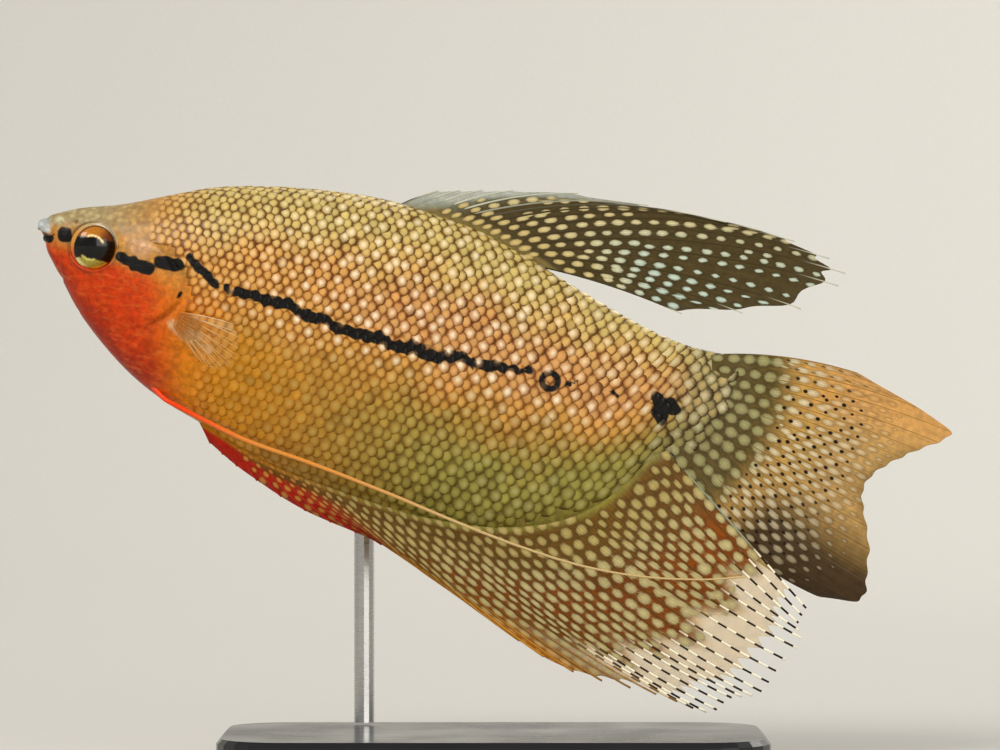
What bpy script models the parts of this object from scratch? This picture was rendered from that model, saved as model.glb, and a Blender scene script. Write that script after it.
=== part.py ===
"""Pearl gourami: a still, life-size display model of an adult male, swimming, held over a plain stand.

The fish is modelled in its own frame. x runs from the tip of the snout along the body to the tail, z is
up across the body, and y is through it, with the fish's left side at -y. Lengths are in millimetres until
a mesh is made. The empty fish_pose then tips the fish head up and holds it over the stand.
"""

import math
from bisect import bisect_right

import bmesh
import bpy
from mathutils import Matrix, Vector

MM = 0.001
GAP = 0.3  # left between two pieces that meet
BODY_PITCH = math.radians(15)  # how far the snout points up

# The body's outlines from the side as (x, z), and its half width as (x, y)
TOP_LINE = [
    (0, 0.9), (1.1, 1.8), (4.3, 3.5), (8.7, 5.1), (14.1, 7.7), (18.4, 9.7), (22.9, 11.1), (29.8, 12.6),
    (38, 13.6), (45.4, 13.4), (50.3, 12.9), (55.6, 11.6), (63.5, 9.2), (71, 7.2), (76.4, 6.3), (82, 6.4),
]
BOTTOM_LINE = [
    (0, -0.9), (1.6, -2.6), (3.9, -5.1), (7.6, -9), (13.7, -13.4), (19.2, -16), (24.4, -17.5), (31.1, -19.5),
    (37.4, -20.6), (49.8, -21.5), (55.9, -21.3), (61.7, -20.4), (67.4, -18.3), (71.5, -15.5), (74.5, -11.8),
    (77, -7.6), (82, -6.3),
]
HALF_WIDTH = [
    (0, 0.7), (1, 1.35), (3, 2.3), (7, 3.7), (12, 4.9), (18, 5.9), (26, 6.5), (36, 6.6), (46, 5.9), (56, 4.7),
    (66, 3.3), (74, 2.2), (82, 1.3),
]
WAIST_SHARE = 0.52  # where the body is widest, as a share of its depth above the belly
BACK_FULLNESS = 0.9  # under 1 the back is rounder than an ellipse
BELLY_SHARPNESS = [(0, 1), (15, 1), (28, 1.15), (60, 1.3), (76, 1.1), (82, 1)]  # over 1 it is a keel
SIDES = 36  # points round the body
HEAD_RINGS, TORSO_RINGS, STALK_RINGS = 22, 20, 7

# Where the body is parted
GILL_EDGE, GILL_BULGE, GILL_MIDDLE, GILL_SPAN = 12.6, 6.0, -3.6, 5.2
TAIL_STALK_START = 66.0
TAIL_END, TAIL_END_CURVE, TAIL_END_MIDDLE = 81.5, 0.045, 1.8

# The gill cover is a plate in a bed sunk in the head
GILL_COVER_TOP, GILL_COVER_BOTTOM = 1.2, -10.4
GILL_COVER_FRONT_TOP, GILL_COVER_FRONT_BOTTOM = 11.2, 11.6
GILL_COVER_PROUD, GILL_COVER_THICKNESS, GILL_COVER_RIM = 0.15, 0.6, 0.5
GILL_COVER_SETBACK = 0.2  # its rear edge lies this far in front of the gill opening
GILL_BED_MARGIN, GILL_BED_RAMP = 0.5, 1.2
GILL_BED_SETBACK = 1.0  # how far the head's rear edge is drawn forward for each mm that the bed is deep

# Eyes, nostrils and mouth
EYE_X, EYE_Z, EYE_RADIUS, EYE_HALF_DEPTH, EYE_PROUD = 7.1, -0.6, 2.75, 1.7, 0.75
EYE_TURN = math.radians(14)  # the eye looks a little forward
NOSTRILS = [(2.5, 1.1), (4.3, 1.7)]
NOSTRIL_RADIUS = 0.32
MOUTH_FRONT, MOUTH_CORNER = (-0.6, 0.1), (2.1, -1.1)
JAW_HINGE_FOOT = (4.4, -6.5)
LIP_RADIUS, LIP_HALF_WIDTH = 0.55, 1.45

# Fins. A ray's place is its share of the fin's base, from the front or the top. A tip is (share, x, z).
MEMBRANE = 0.25  # half thickness of the skin between the rays
RAY_ROOT, RAY_TIP = 0.48, 0.3  # half thickness of a ray
RAY_HALF_WIDTH = 0.3
RAY_NARROWING = 0.4  # share of its width that a ray loses by its tip
SKIN_REACH = 0.985  # how far out the skin between two rays goes, as a share of them
FREE_TIP = 0.16  # half thickness at the end of a ray that runs out past the skin

DORSAL_RAYS, DORSAL_START, DORSAL_END = 16, 41.0, 59.4
DORSAL_TIPS = [
    (0, 44.2, 16.2), (0.13, 49.1, 17.6), (0.2, 52.7, 18.5), (0.27, 60.5, 20.2), (0.34, 69, 20.9),
    (0.47, 78, 21.3), (0.6, 86.1, 21.2), (0.7, 92.1, 19.7), (0.8, 92.4, 17.5), (0.87, 88.6, 13.6),
    (0.93, 82.7, 11.6), (1, 75.5, 9.6),
]
DORSAL_BOW = [(0, 0.04), (0.3, 0.1), (0.6, 0.14), (1, 0.05)]
DORSAL_WAVE, DORSAL_WAVE_LENGTH = 1.1, 9.0  # how far the margin swings through the fish, and over what length

ANAL_RAYS, ANAL_START, ANAL_END = 38, 24.9, 77.3
ANAL_TIPS = [
    (0, 26.1, -19.4), (0.06, 30.3, -21.4), (0.13, 38.4, -24.1), (0.22, 49.2, -25.9), (0.32, 60.6, -29.9),
    (0.42, 72.6, -34.0), (0.52, 84.8, -34.2), (0.6, 90.6, -34.6), (0.67, 92.5, -32.4), (0.75, 95.7, -30.9),
    (0.82, 97.1, -27.4), (0.88, 98.8, -23.9), (0.94, 98.0, -22.0), (1, 98.4, -19.9),
]
ANAL_BOW = [(0, 0), (0.3, -0.05), (0.6, -0.09), (0.9, -0.06), (1, 0)]
ANAL_FREE_FROM, ANAL_FREE_REACH = 0.48, 0.78  # behind this share, every other ray leaves the skin this far out
ANAL_WAVE, ANAL_WAVE_LENGTH, ANAL_WAVE_END = -2.0, 16.0, 98.0

CAUDAL_RAYS, CAUDAL_TOP, CAUDAL_BOTTOM = 16, 6.1, -6.0
CAUDAL_TIPS = [
    (0, 97.5, 8.2), (0.035, 101.4, 7.3), (0.07, 105.6, 6), (0.14, 109.9, 4.2), (0.24, 107.3, 1.9),
    (0.35, 104.5, -0.4), (0.45, 102.3, -2.7), (0.53, 101.6, -4.8), (0.62, 102.4, -7.3), (0.72, 104.1, -10.9),
    (0.82, 104.9, -14.9), (0.92, 105, -17.6), (1, 100.2, -18.4),
]
CAUDAL_BOW = [(0, 0.09), (0.3, 0.03), (0.6, -0.02), (0.85, -0.08), (1, -0.15)]
CAUDAL_SWAY, CAUDAL_FOLD, CAUDAL_FOLD_DEPTH = -0.8, 5.0, 20.0  # the lower lobe folds away from the left side

PECTORAL_RAYS, PECTORAL_LENGTH, PECTORAL_ROOT = 9, 12.0, 2.0
PECTORAL_X, PECTORAL_Z = 19.2, -6.4
PECTORAL_SPREAD = (math.radians(14), math.radians(-24))  # the top and the bottom ray, from the fin's own axis
PECTORAL_SWING, PECTORAL_DROOP = math.radians(52), math.radians(12)

# The pelvic fins are long threads that trail along the belly, as (x, y, z)
FEELER_PATH = [
    (19.6, 2.45, -15.65), (21.7, 2.7, -16.15), (24.5, 2.85, -16.8), (30.1, 3.2, -17.85), (38.3, 3.6, -18.5),
    (48.1, 3.4, -19.6), (56.9, 3.3, -20.8), (64.4, 3.0, -21.6), (71.8, 2.6, -21.9), (78.9, 2.5, -21.3),
    (85.8, 2.7, -19.8), (90.5, 3.0, -18.2),
]
FEELER_ROOT_RADIUS, FEELER_TIP_RADIUS = 0.42, 0.2

# The stand
BASE_LENGTH, BASE_WIDTH, BASE_THICKNESS = 64.0, 36.0, 4.0
BASE_CORNER, BASE_CHAMFER = 8.0, 0.6
FIN_CLEARANCE = 2.5  # from the lowest fin ray down to the base
ROD_RADIUS, ROD_BEND, ROD_Y = 1.2, 4.0, 13.0
ROD_X, ROD_Z = 40.0, -3.0  # where the rod meets the flank, on the widest line of the body


def smooth_line(points, x):
    """The value at x of a smooth curve through points, which are (x, value) in order."""
    if x <= points[0][0]:
        return points[0][1]
    if x >= points[-1][0]:
        return points[-1][1]
    i = bisect_right([p[0] for p in points], x) - 1

    def slope(k):
        before, after = points[max(k - 1, 0)], points[min(k + 1, len(points) - 1)]
        return (after[1] - before[1]) / (after[0] - before[0])

    (x0, v0), (x1, v1) = points[i], points[i + 1]
    span = x1 - x0
    t = (x - x0) / span
    return (
        (2 * t**3 - 3 * t**2 + 1) * v0
        + (t**3 - 2 * t**2 + t) * span * slope(i)
        + (3 * t**2 - 2 * t**3) * v1
        + (t**3 - t**2) * span * slope(i + 1)
    )


def tip_at(tips, share):
    """The (x, z) of a ray's tip, on the smooth curve through a fin's named tips."""
    xs = [(s, x) for s, x, _ in tips]
    zs = [(s, z) for s, _, z in tips]
    return Vector((smooth_line(xs, share), smooth_line(zs, share)))


def waist(x):
    """The height of the widest line of the body."""
    low, high = smooth_line(BOTTOM_LINE, x), smooth_line(TOP_LINE, x)
    return low + WAIST_SHARE * (high - low)


def section_point(x, angle):
    """(y, z) on the body's outline across x. The angle runs from +y over the back."""
    middle = waist(x)
    over = math.sin(angle) >= 0
    edge = smooth_line(TOP_LINE if over else BOTTOM_LINE, x)
    sharpness = BACK_FULLNESS if over else smooth_line(BELLY_SHARPNESS, x)
    across = math.copysign(abs(math.cos(angle)) ** sharpness, math.cos(angle))
    return smooth_line(HALF_WIDTH, x) * across, middle + abs(edge - middle) * math.sin(angle)


def half_width_at(x, z):
    """How far the flank is from the middle plane at a point seen from the side."""
    middle = waist(x)
    edge = smooth_line(TOP_LINE if z >= middle else BOTTOM_LINE, x)
    rise = min(1.0, (z - middle) / (edge - middle))
    sharpness = BACK_FULLNESS if z >= middle else smooth_line(BELLY_SHARPNESS, x)
    return smooth_line(HALF_WIDTH, x) * math.sqrt(1 - rise * rise) ** sharpness


def edge_point(line, x, outward):
    """The (x, z) just clear of an outline, square to it. outward is 1 over the back and -1 under the belly."""
    step = 0.2
    slope = (smooth_line(line, x + step) - smooth_line(line, x - step)) / (2 * step)
    normal = Vector((-slope, 1)).normalized() * outward
    return Vector((x, smooth_line(line, x))) + normal * GAP


def gill_edge(z):
    """The x of the gill opening, which parts the head from the torso."""
    return GILL_EDGE + GILL_BULGE * math.exp(-(((z - GILL_MIDDLE) / GILL_SPAN) ** 2))


def tail_edge(z):
    """The x of the end of the tail stalk, where the tail fin starts."""
    return TAIL_END - TAIL_END_CURVE * (z - TAIL_END_MIDDLE) ** 2


def station_on(edge, angle):
    """The x at which the body's outline at this angle reaches an edge given as x for a height."""
    x = edge(0)
    for _ in range(12):
        x = (x + edge(section_point(x, angle)[1])) / 2
    return x


def gill_cover_front(z):
    share = (GILL_COVER_TOP - z) / (GILL_COVER_TOP - GILL_COVER_BOTTOM)
    return GILL_COVER_FRONT_TOP + (GILL_COVER_FRONT_BOTTOM - GILL_COVER_FRONT_TOP) * share


def gill_bed_depth(x, z):
    """How far the head is sunk below the body's surface to make room for the gill cover."""

    def ramp(inside):
        t = min(1.0, max(0.0, (inside + GILL_BED_MARGIN) / GILL_BED_RAMP + 1))
        return t * t * (3 - 2 * t)

    inside = ramp(x - gill_cover_front(z)) * ramp(GILL_COVER_TOP - z) * ramp(z - GILL_COVER_BOTTOM)
    return inside * (GILL_COVER_THICKNESS - GILL_COVER_PROUD + GAP)


def link(name, mesh, material):
    """A new object that shows the mesh, shaded smooth except over sharp edges."""
    mesh.materials.clear()
    mesh.materials.append(material)
    mesh.shade_smooth()
    mesh.set_sharp_from_angle(angle=math.radians(50))
    made = bpy.data.objects.new(name, mesh)
    bpy.context.scene.collection.objects.link(made)
    return made


def closed_mesh(name, points, faces):
    """A mesh in metres from points in millimetres, split into triangles, with its faces pointing out."""
    work = bmesh.new()
    corners = [work.verts.new(Vector(p) * MM) for p in points]
    for face in faces:
        work.faces.new([corners[i] for i in face])
    bmesh.ops.triangulate(work, faces=[f for f in work.faces if len(f.verts) > 3])
    bmesh.ops.recalc_face_normals(work, faces=work.faces)
    mesh = bpy.data.meshes.new(name)
    work.to_mesh(mesh)
    work.free()
    return mesh


def looped_mesh(name, loops, first_tip, last_tip):
    """A closed mesh through loops of points of equal number, ended by a point at each end."""
    count = len(loops[0])
    points = [p for loop in loops for p in loop] + [first_tip, last_tip]
    first, last = len(points) - 2, len(points) - 1
    faces = []
    for j in range(len(loops) - 1):
        for i in range(count):
            a, b = j * count + i, j * count + (i + 1) % count
            faces += [(a, b, b + count), (a, b + count, a + count)]
    end = (len(loops) - 1) * count
    for i in range(count):
        faces.append((first, (i + 1) % count, i))
        faces.append((last, end + i, end + (i + 1) % count))
    return closed_mesh(name, points, faces)


def body_length(name, starts, ends, rings, material, bed=None):
    """One length of the body, between two lists of x round its outline, each closed by a fan to its middle."""

    def middle_of(stations):
        x = (min(stations) + sum(stations) / SIDES) / 2
        return Vector((x, 0, waist(x)))

    loops = []
    for j in range(rings + 1):
        loop = []
        for i in range(SIDES):
            angle = 2 * math.pi * i / SIDES
            x = starts[i] + (ends[i] - starts[i]) * j / rings
            y, z = section_point(x, angle)
            if bed:
                y -= math.copysign(min(abs(y), bed(x, z)), y)
            loop.append(Vector((x, y, z)))
        loops.append(loop)
    return link(name, looped_mesh(name, loops, middle_of(starts), middle_of(ends)), material)


def tube_mesh(name, path, radii, sides):
    """A tapering round tube along a list of points."""
    loops = []
    for i, point in enumerate(path):
        along = (path[min(i + 1, len(path) - 1)] - path[max(i - 1, 0)]).normalized()
        across = along.cross(Vector((0, 0, 1))).normalized()
        up = across.cross(along)
        turns = [2 * math.pi * k / sides for k in range(sides)]
        loops.append([point + radii[i] * (across * math.cos(a) + up * math.sin(a)) for a in turns])
    return looped_mesh(name, loops, path[0], path[-1])


def ellipsoid_mesh(name, centre, half_sizes, turn, segments):
    """A ball squashed to three half sizes and turned about z."""
    work = bmesh.new()
    bmesh.ops.create_uvsphere(work, u_segments=segments, v_segments=segments // 2, radius=1)
    place = Matrix.Translation(Vector(centre) * MM) @ Matrix.Rotation(turn, 4, "Z")
    work.transform(place @ Matrix.Diagonal((*[h * MM for h in half_sizes], 1)))
    bmesh.ops.triangulate(work, faces=work.faces)
    mesh = bpy.data.meshes.new(name)
    work.to_mesh(mesh)
    work.free()
    return mesh


def prism_mesh(name, outline, half_width):
    """A slab through the fish with the given side outline."""
    count = len(outline)
    points = [(x, y, z) for y in (-half_width, half_width) for x, z in outline]
    faces = [tuple(range(count)), tuple(range(count, 2 * count))]
    faces += [(i, (i + 1) % count, count + (i + 1) % count, count + i) for i in range(count)]
    return closed_mesh(name, points, faces)


def combine(target, meshes, operation):
    """Applies one Boolean of a collection of closed meshes to an object, then removes the collection."""
    group = bpy.data.collections.new("boolean_parts")
    helpers = [bpy.data.objects.new("boolean_part", mesh) for mesh in meshes]
    for helper in helpers:
        group.objects.link(helper)
    modifier = target.modifiers.new("combine", "BOOLEAN")
    modifier.operation = operation
    modifier.solver = "EXACT"
    modifier.operand_type = "COLLECTION"
    modifier.collection = group
    bpy.context.view_layer.update()
    result = target.evaluated_get(bpy.context.evaluated_depsgraph_get())
    target.data = bpy.data.meshes.new_from_object(result)
    target.modifiers.clear()
    for helper in helpers:
        bpy.data.objects.remove(helper)
    bpy.data.collections.remove(group)
    keep_largest_surface(target.data)


def keep_largest_surface(mesh):
    """Drops every closed surface of a mesh except its largest, so that no scrap or hollow stays."""
    work = bmesh.new()
    work.from_mesh(mesh)
    bmesh.ops.triangulate(work, faces=work.faces)
    left, surfaces = set(work.verts), []
    while left:
        found, edge = set(), [left.pop()]
        while edge:
            vert = edge.pop()
            found.add(vert)
            near = {e.other_vert(vert) for e in vert.link_edges} & left
            left -= near
            edge += near
        surfaces.append(found)
    surfaces.sort(key=len)
    for scrap in surfaces[:-1]:
        bmesh.ops.delete(work, geom=list(scrap), context="VERTS")
    work.to_mesh(mesh)
    work.free()


def ray_point(ray, t):
    """The (x, z) at a share t along a bowed ray."""
    base, tip, bow = ray
    along = tip - base
    bend = (base + tip) / 2 + Vector((-along.y, along.x)) * bow
    return base * (1 - t) ** 2 + bend * 2 * t * (1 - t) + tip * t**2


def fan_of_rays(count, base_at, tips, bows):
    rays = []
    for k in range(count):
        share = k / (count - 1)
        rays.append((base_at(share), tip_at(tips, share), smooth_line(bows, share)))
    return rays


def fin_mesh(name, rays, reaches, rows, bend, narrow=True, free_rows=3):
    """A fin as one closed sheet with its rays raised on both faces.

    reaches gives, for each ray, the share of it that the skin covers; past that the ray runs on alone.
    narrow rays have a shoulder at each side, and the others slope down to the middle of the skin.
    bend gives the sheet's y at an (x, z) and a share along the ray.
    """
    columns = []  # (place at a share, half thickness at a share, reach, number of the free ray or None)

    def thickness(t):
        return RAY_ROOT + (RAY_TIP - RAY_ROOT) * t

    def shoulder(k, side):
        def place(t):
            here = ray_point(rays[k], t)
            if 0 <= k + side < len(rays):
                away = ray_point(rays[k + side], t) - here
            else:
                away = here - ray_point(rays[k - side], t)
            half = RAY_HALF_WIDTH * (1 - RAY_NARROWING * t)
            return here + away * min(0.4, half / max(away.length, 0.001))

        return place

    for k, ray in enumerate(rays):
        free = reaches[k] < 1
        with_shoulders = narrow or free
        crest = (lambda t, ray=ray: ray_point(ray, t), thickness, reaches[k], k if free else None)
        side = [(shoulder(k, s), lambda t: MEMBRANE, reaches[k], k if free else None) for s in (-1, 1)]
        columns += [side[0], crest, side[1]] if with_shoulders else [crest]
        if k + 1 < len(rays):
            after = rays[k + 1]
            reach = min(reaches[k], reaches[k + 1], SKIN_REACH)

            def valley(t, ray=ray, after=after):
                return (ray_point(ray, t) + ray_point(after, t)) / 2

            columns.append((valley, lambda t: MEMBRANE, reach, None))

    def pair(place, half, t):
        x, z = place(t)
        y = bend(x, z, t)
        return [(x, y - half, z), (x, y + half, z)]

    points, faces = [], []
    for place, half, reach, _ in columns:
        for r in range(rows + 1):
            t = reach * r / rows
            points += pair(place, half(t), t)

    def at(column, row, back):
        return (column * (rows + 1) + row) * 2 + back

    def wall(a, b, c, d):
        faces.extend([(a, b, c), (a, c, d)])

    for c in range(len(columns) - 1):
        for r in range(rows):
            for back in (0, 1):
                wall(at(c, r, back), at(c + 1, r, back), at(c + 1, r + 1, back), at(c, r + 1, back))
        wall(at(c, 0, 0), at(c + 1, 0, 0), at(c + 1, 0, 1), at(c, 0, 1))
        if columns[c][3] is None or columns[c][3] != columns[c + 1][3]:
            wall(at(c, rows, 0), at(c + 1, rows, 0), at(c + 1, rows, 1), at(c, rows, 1))
    for c in (0, len(columns) - 1):
        for r in range(rows):
            wall(at(c, r, 0), at(c, r + 1, 0), at(c, r + 1, 1), at(c, r, 1))

    for c in range(1, len(columns) - 1):
        if columns[c][3] is None or columns[c - 1][3] != columns[c][3] or columns[c + 1][3] != columns[c][3]:
            continue
        loop = [at(c + side, rows, 0) for side in (-1, 0, 1)] + [at(c + side, rows, 1) for side in (1, 0, -1)]
        reach = columns[c][2]
        for step in range(1, free_rows + 1):
            share = step / free_rows
            t = reach + (1 - reach) * share
            start = len(points)
            ring = []
            for side in (-1, 0, 1):
                place, half = columns[c + side][:2]
                centre = Vector(ray_point(rays[columns[c][3]], t))
                spot = centre + (Vector(place(t)) - centre) * (1 - RAY_NARROWING * share)
                thin = half(t) * (1 - share) + FREE_TIP * share * (1 if side == 0 else 0.6)
                y = bend(*centre, t)
                ring.append([(spot.x, y - thin, spot.y), (spot.x, y + thin, spot.y)])
            points.extend([front for front, _ in ring] + [back for _, back in reversed(ring)])
            after = list(range(start, start + 6))
            for i in range(6):
                wall(loop[i], loop[(i + 1) % 6], after[(i + 1) % 6], after[i])
            loop = after
        faces.extend([(loop[0], loop[1], loop[4]), (loop[0], loop[4], loop[5])])
        faces.extend([(loop[1], loop[2], loop[3]), (loop[1], loop[3], loop[4])])
    return closed_mesh(name, points, faces)


def finish_of(name, colour, roughness, metallic=0.0):
    made = bpy.data.materials.new(name)
    made.use_nodes = True
    shader = made.node_tree.nodes["Principled BSDF"]
    shader.inputs["Base Color"].default_value = (*colour, 1)
    shader.inputs["Roughness"].default_value = roughness
    shader.inputs["Metallic"].default_value = metallic
    made.diffuse_color = (*colour, 1)
    return made


def make_body(flesh, throat):
    angles = [2 * math.pi * i / SIDES for i in range(SIDES)]
    gill_line = [station_on(gill_edge, angle) for angle in angles]
    tail_line = [station_on(tail_edge, angle) for angle in angles]
    torso_start = [x + GAP for x in gill_line]
    head_end = []
    for x, angle in zip(gill_line, angles):
        head_end.append(x - GILL_BED_SETBACK * gill_bed_depth(x, section_point(x, angle)[1]))
    snout = [0.0] * SIDES
    head = body_length("head", snout, head_end, HEAD_RINGS, throat, gill_bed_depth)
    torso = body_length("torso", torso_start, [TAIL_STALK_START] * SIDES, TORSO_RINGS, flesh)
    stalk_start = [TAIL_STALK_START + GAP] * SIDES
    stalk = body_length("tail_stalk", stalk_start, tail_line, STALK_RINGS, flesh)
    return [head, torso, stalk]


def mouth_height(x):
    (x0, z0), (x1, z1) = MOUTH_FRONT, MOUTH_CORNER
    return z0 + (z1 - z0) * (x - x0) / (x1 - x0)


def lip_mesh(name, side):
    """The upper lip for side 1 and the lower for side -1, a roll round the front of the mouth."""
    path, radii, steps = [], [], 12
    front = LIP_RADIUS * 0.6
    rise = LIP_RADIUS + GAP if side > 0 else -LIP_RADIUS
    for i in range(steps + 1):
        a = math.pi * (i / steps - 0.5)
        x = MOUTH_CORNER[0] - (MOUTH_CORNER[0] - front) * math.cos(a)
        path.append(Vector((x, LIP_HALF_WIDTH * math.sin(a), mouth_height(x) + rise)))
        radii.append(LIP_RADIUS * (0.45 + 0.55 * math.cos(a)))
    return tube_mesh(name, path, radii, 8)


def jaw_outline(grow):
    """The side outline of the lower jaw, cut back from the head by grow."""
    (x0, z0), (x1, z1), (x2, z2) = MOUTH_FRONT, MOUTH_CORNER, JAW_HINGE_FOOT
    far = 4.0
    return [
        (x0 - far, mouth_height(x0 - far) + grow), (x1 + grow, z1 + grow), (x2 + grow, z2 - grow),
        (x0 - far, z2 - grow),
    ]


def shape_head(head, skin):
    """Cuts the eye sockets, nostrils and mouth, adds the lips and parts off the lower jaw."""
    sockets = [eye_mesh("socket", side, GAP) for side in (-1, 1)]
    pits = [
        ellipsoid_mesh("pit", (x, side * half_width_at(x, z), z), [NOSTRIL_RADIUS] * 3, 0, 8)
        for x, z in NOSTRILS
        for side in (-1, 1)
    ]
    jaw = link("lower_jaw", head.data.copy(), skin)
    combine(jaw, [prism_mesh("jaw_part", jaw_outline(0), 10)], "INTERSECT")
    combine(jaw, [lip_mesh("lower_lip", -1)], "UNION")
    combine(head, [prism_mesh("jaw_room", jaw_outline(GAP), 10)], "DIFFERENCE")
    combine(head, [lip_mesh("upper_lip", 1)], "UNION")
    combine(head, sockets + pits, "DIFFERENCE")
    return jaw


def eye_mesh(name, side, grow=0.0):
    depth = half_width_at(EYE_X, EYE_Z) + EYE_PROUD - EYE_HALF_DEPTH
    sizes = (EYE_RADIUS + grow, EYE_HALF_DEPTH + grow, EYE_RADIUS + grow)
    return ellipsoid_mesh(name, (EYE_X, side * depth, EYE_Z), sizes, side * -EYE_TURN, 20)


def make_gill_cover(name, side, material):
    """The plate over the gills, its rear edge on the gill opening."""
    across, down = 8, 10
    points, faces = [], []
    for back in (0, 1):
        for q in range(down + 1):
            z = GILL_COVER_TOP + (GILL_COVER_BOTTOM - GILL_COVER_TOP) * q / down
            for p in range(across + 1):
                slant = GILL_COVER_THICKNESS if back else 0
                front, rear = gill_cover_front(z), gill_edge(z) - GILL_COVER_SETBACK - slant
                x = front + (rear - front) * p / across
                rim = p in (0, across) or q in (0, down)
                inner = GILL_COVER_PROUD - GILL_COVER_THICKNESS
                offset = inner if back else GILL_COVER_PROUD
                if rim and not back:
                    offset = inner + GILL_COVER_RIM
                y = half_width_at(x, z) + offset
                points.append((x, side * y, z))
    size = (across + 1) * (down + 1)

    def at(p, q, back):
        return back * size + q * (across + 1) + p

    def wall(a, b, c, d):
        faces.extend([(a, b, c), (a, c, d)])

    for q in range(down):
        for p in range(across):
            for back in (0, 1):
                wall(at(p, q, back), at(p + 1, q, back), at(p + 1, q + 1, back), at(p, q + 1, back))
    for p in range(across):
        for q in (0, down):
            wall(at(p, q, 0), at(p + 1, q, 0), at(p + 1, q, 1), at(p, q, 1))
    for q in range(down):
        for p in (0, across):
            wall(at(p, q, 0), at(p, q + 1, 0), at(p, q + 1, 1), at(p, q, 1))
    return link(name, closed_mesh(name, points, faces), material)


def make_dorsal_fin(material):
    def base_at(share):
        return edge_point(TOP_LINE, DORSAL_START + (DORSAL_END - DORSAL_START) * share, 1)

    def bend(x, z, t):
        return DORSAL_WAVE * t * t * math.sin((x - DORSAL_START) / DORSAL_WAVE_LENGTH)

    rays = fan_of_rays(DORSAL_RAYS, base_at, DORSAL_TIPS, DORSAL_BOW)
    return link("dorsal_fin", fin_mesh("dorsal_fin", rays, [1] * DORSAL_RAYS, 8, bend), material)


def make_anal_fin(material):
    def base_at(share):
        return edge_point(BOTTOM_LINE, ANAL_START + (ANAL_END - ANAL_START) * share, -1)

    def bend(x, z, t):
        return ANAL_WAVE * t * t * math.cos((x - ANAL_WAVE_END) / ANAL_WAVE_LENGTH)

    rays = fan_of_rays(ANAL_RAYS, base_at, ANAL_TIPS, ANAL_BOW)
    shares = [k / (ANAL_RAYS - 1) for k in range(ANAL_RAYS)]
    reaches = [ANAL_FREE_REACH if share > ANAL_FREE_FROM and k % 2 else 1 for k, share in enumerate(shares)]
    return link("anal_fin", fin_mesh("anal_fin", rays, reaches, 7, bend, narrow=False), material)


def make_caudal_fin(material):
    def base_at(share):
        z = CAUDAL_TOP + (CAUDAL_BOTTOM - CAUDAL_TOP) * share
        return Vector((tail_edge(z) + GAP, z))

    def bend(x, z, t):
        lower = max(0.0, -z) / CAUDAL_FOLD_DEPTH
        return t * t * (CAUDAL_FOLD * lower**1.5 + CAUDAL_SWAY)

    rays = fan_of_rays(CAUDAL_RAYS, base_at, CAUDAL_TIPS, CAUDAL_BOW)
    return link("caudal_fin", fin_mesh("caudal_fin", rays, [1] * CAUDAL_RAYS, 8, bend), material)


def make_pectoral_fin(name, side, material):
    """A rounded fan on the shoulder just behind the gill opening, held out from the body."""
    top, low = PECTORAL_SPREAD
    rays = []
    for k in range(PECTORAL_RAYS):
        share = k / (PECTORAL_RAYS - 1)
        angle = top + (low - top) * share
        length = PECTORAL_LENGTH * (1 - 0.45 * (2 * share - 0.7) ** 2)
        base = Vector((0, PECTORAL_ROOT * (0.5 - share)))
        tip = base + Vector((math.cos(angle), math.sin(angle))) * length
        rays.append((base, tip, 0.03))

    def bend(x, z, t):
        return side * -0.8 * t * t

    made = link(name, fin_mesh(name, rays, [1] * PECTORAL_RAYS, 5, bend, narrow=False), material)
    root = Vector((PECTORAL_X, side * (half_width_at(PECTORAL_X, PECTORAL_Z) + GAP), PECTORAL_Z))
    clear = Vector((0, side * RAY_ROOT * math.cos(PECTORAL_SWING), 0))
    turn = Matrix.Rotation(side * PECTORAL_SWING, 4, "Z") @ Matrix.Rotation(PECTORAL_DROOP, 4, "Y")
    made.matrix_world = Matrix.Translation((root + clear) * MM) @ turn
    return made


def make_feeler(name, side, material):
    """One thread-like pelvic fin, from the breast back along the belly."""
    steps = 40
    first, last = FEELER_PATH[0][0], FEELER_PATH[-1][0]
    ys = [(x, y) for x, y, _ in FEELER_PATH]
    zs = [(x, z) for x, _, z in FEELER_PATH]
    path, radii = [], []
    for i in range(steps + 1):
        x = first + (last - first) * i / steps
        path.append(Vector((x, side * smooth_line(ys, x), smooth_line(zs, x))))
        radii.append(FEELER_ROOT_RADIUS + (FEELER_TIP_RADIUS - FEELER_ROOT_RADIUS) * i / steps)
    return link(name, tube_mesh(name, path, radii, 6), material)


def make_base(material):
    """A flat plate with round corners and a small chamfer round its top."""

    def outline(inset):
        radius, steps, points = BASE_CORNER - inset, 6, []
        for quarter, (sx, sy) in enumerate([(1, 1), (-1, 1), (-1, -1), (1, -1)]):
            cx, cy = sx * (BASE_LENGTH / 2 - BASE_CORNER), sy * (BASE_WIDTH / 2 - BASE_CORNER)
            for i in range(steps + 1):
                a = math.pi / 2 * (quarter + i / steps)
                points.append((cx + radius * math.cos(a), cy + radius * math.sin(a)))
        return points

    levels = [(0, 0), (BASE_THICKNESS - BASE_CHAMFER, 0), (BASE_THICKNESS, BASE_CHAMFER)]
    points = [(x, y, height) for height, inset in levels for x, y in outline(inset)]
    count = len(points) // len(levels)
    faces = [tuple(range(count)), tuple(range(2 * count, 3 * count))]
    for level in range(2):
        for i in range(count):
            a, b = level * count + i, level * count + (i + 1) % count
            faces.append((a, b, b + count, a + count))
    return link("stand_base", closed_mesh("stand_base", points, faces), material)


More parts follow.
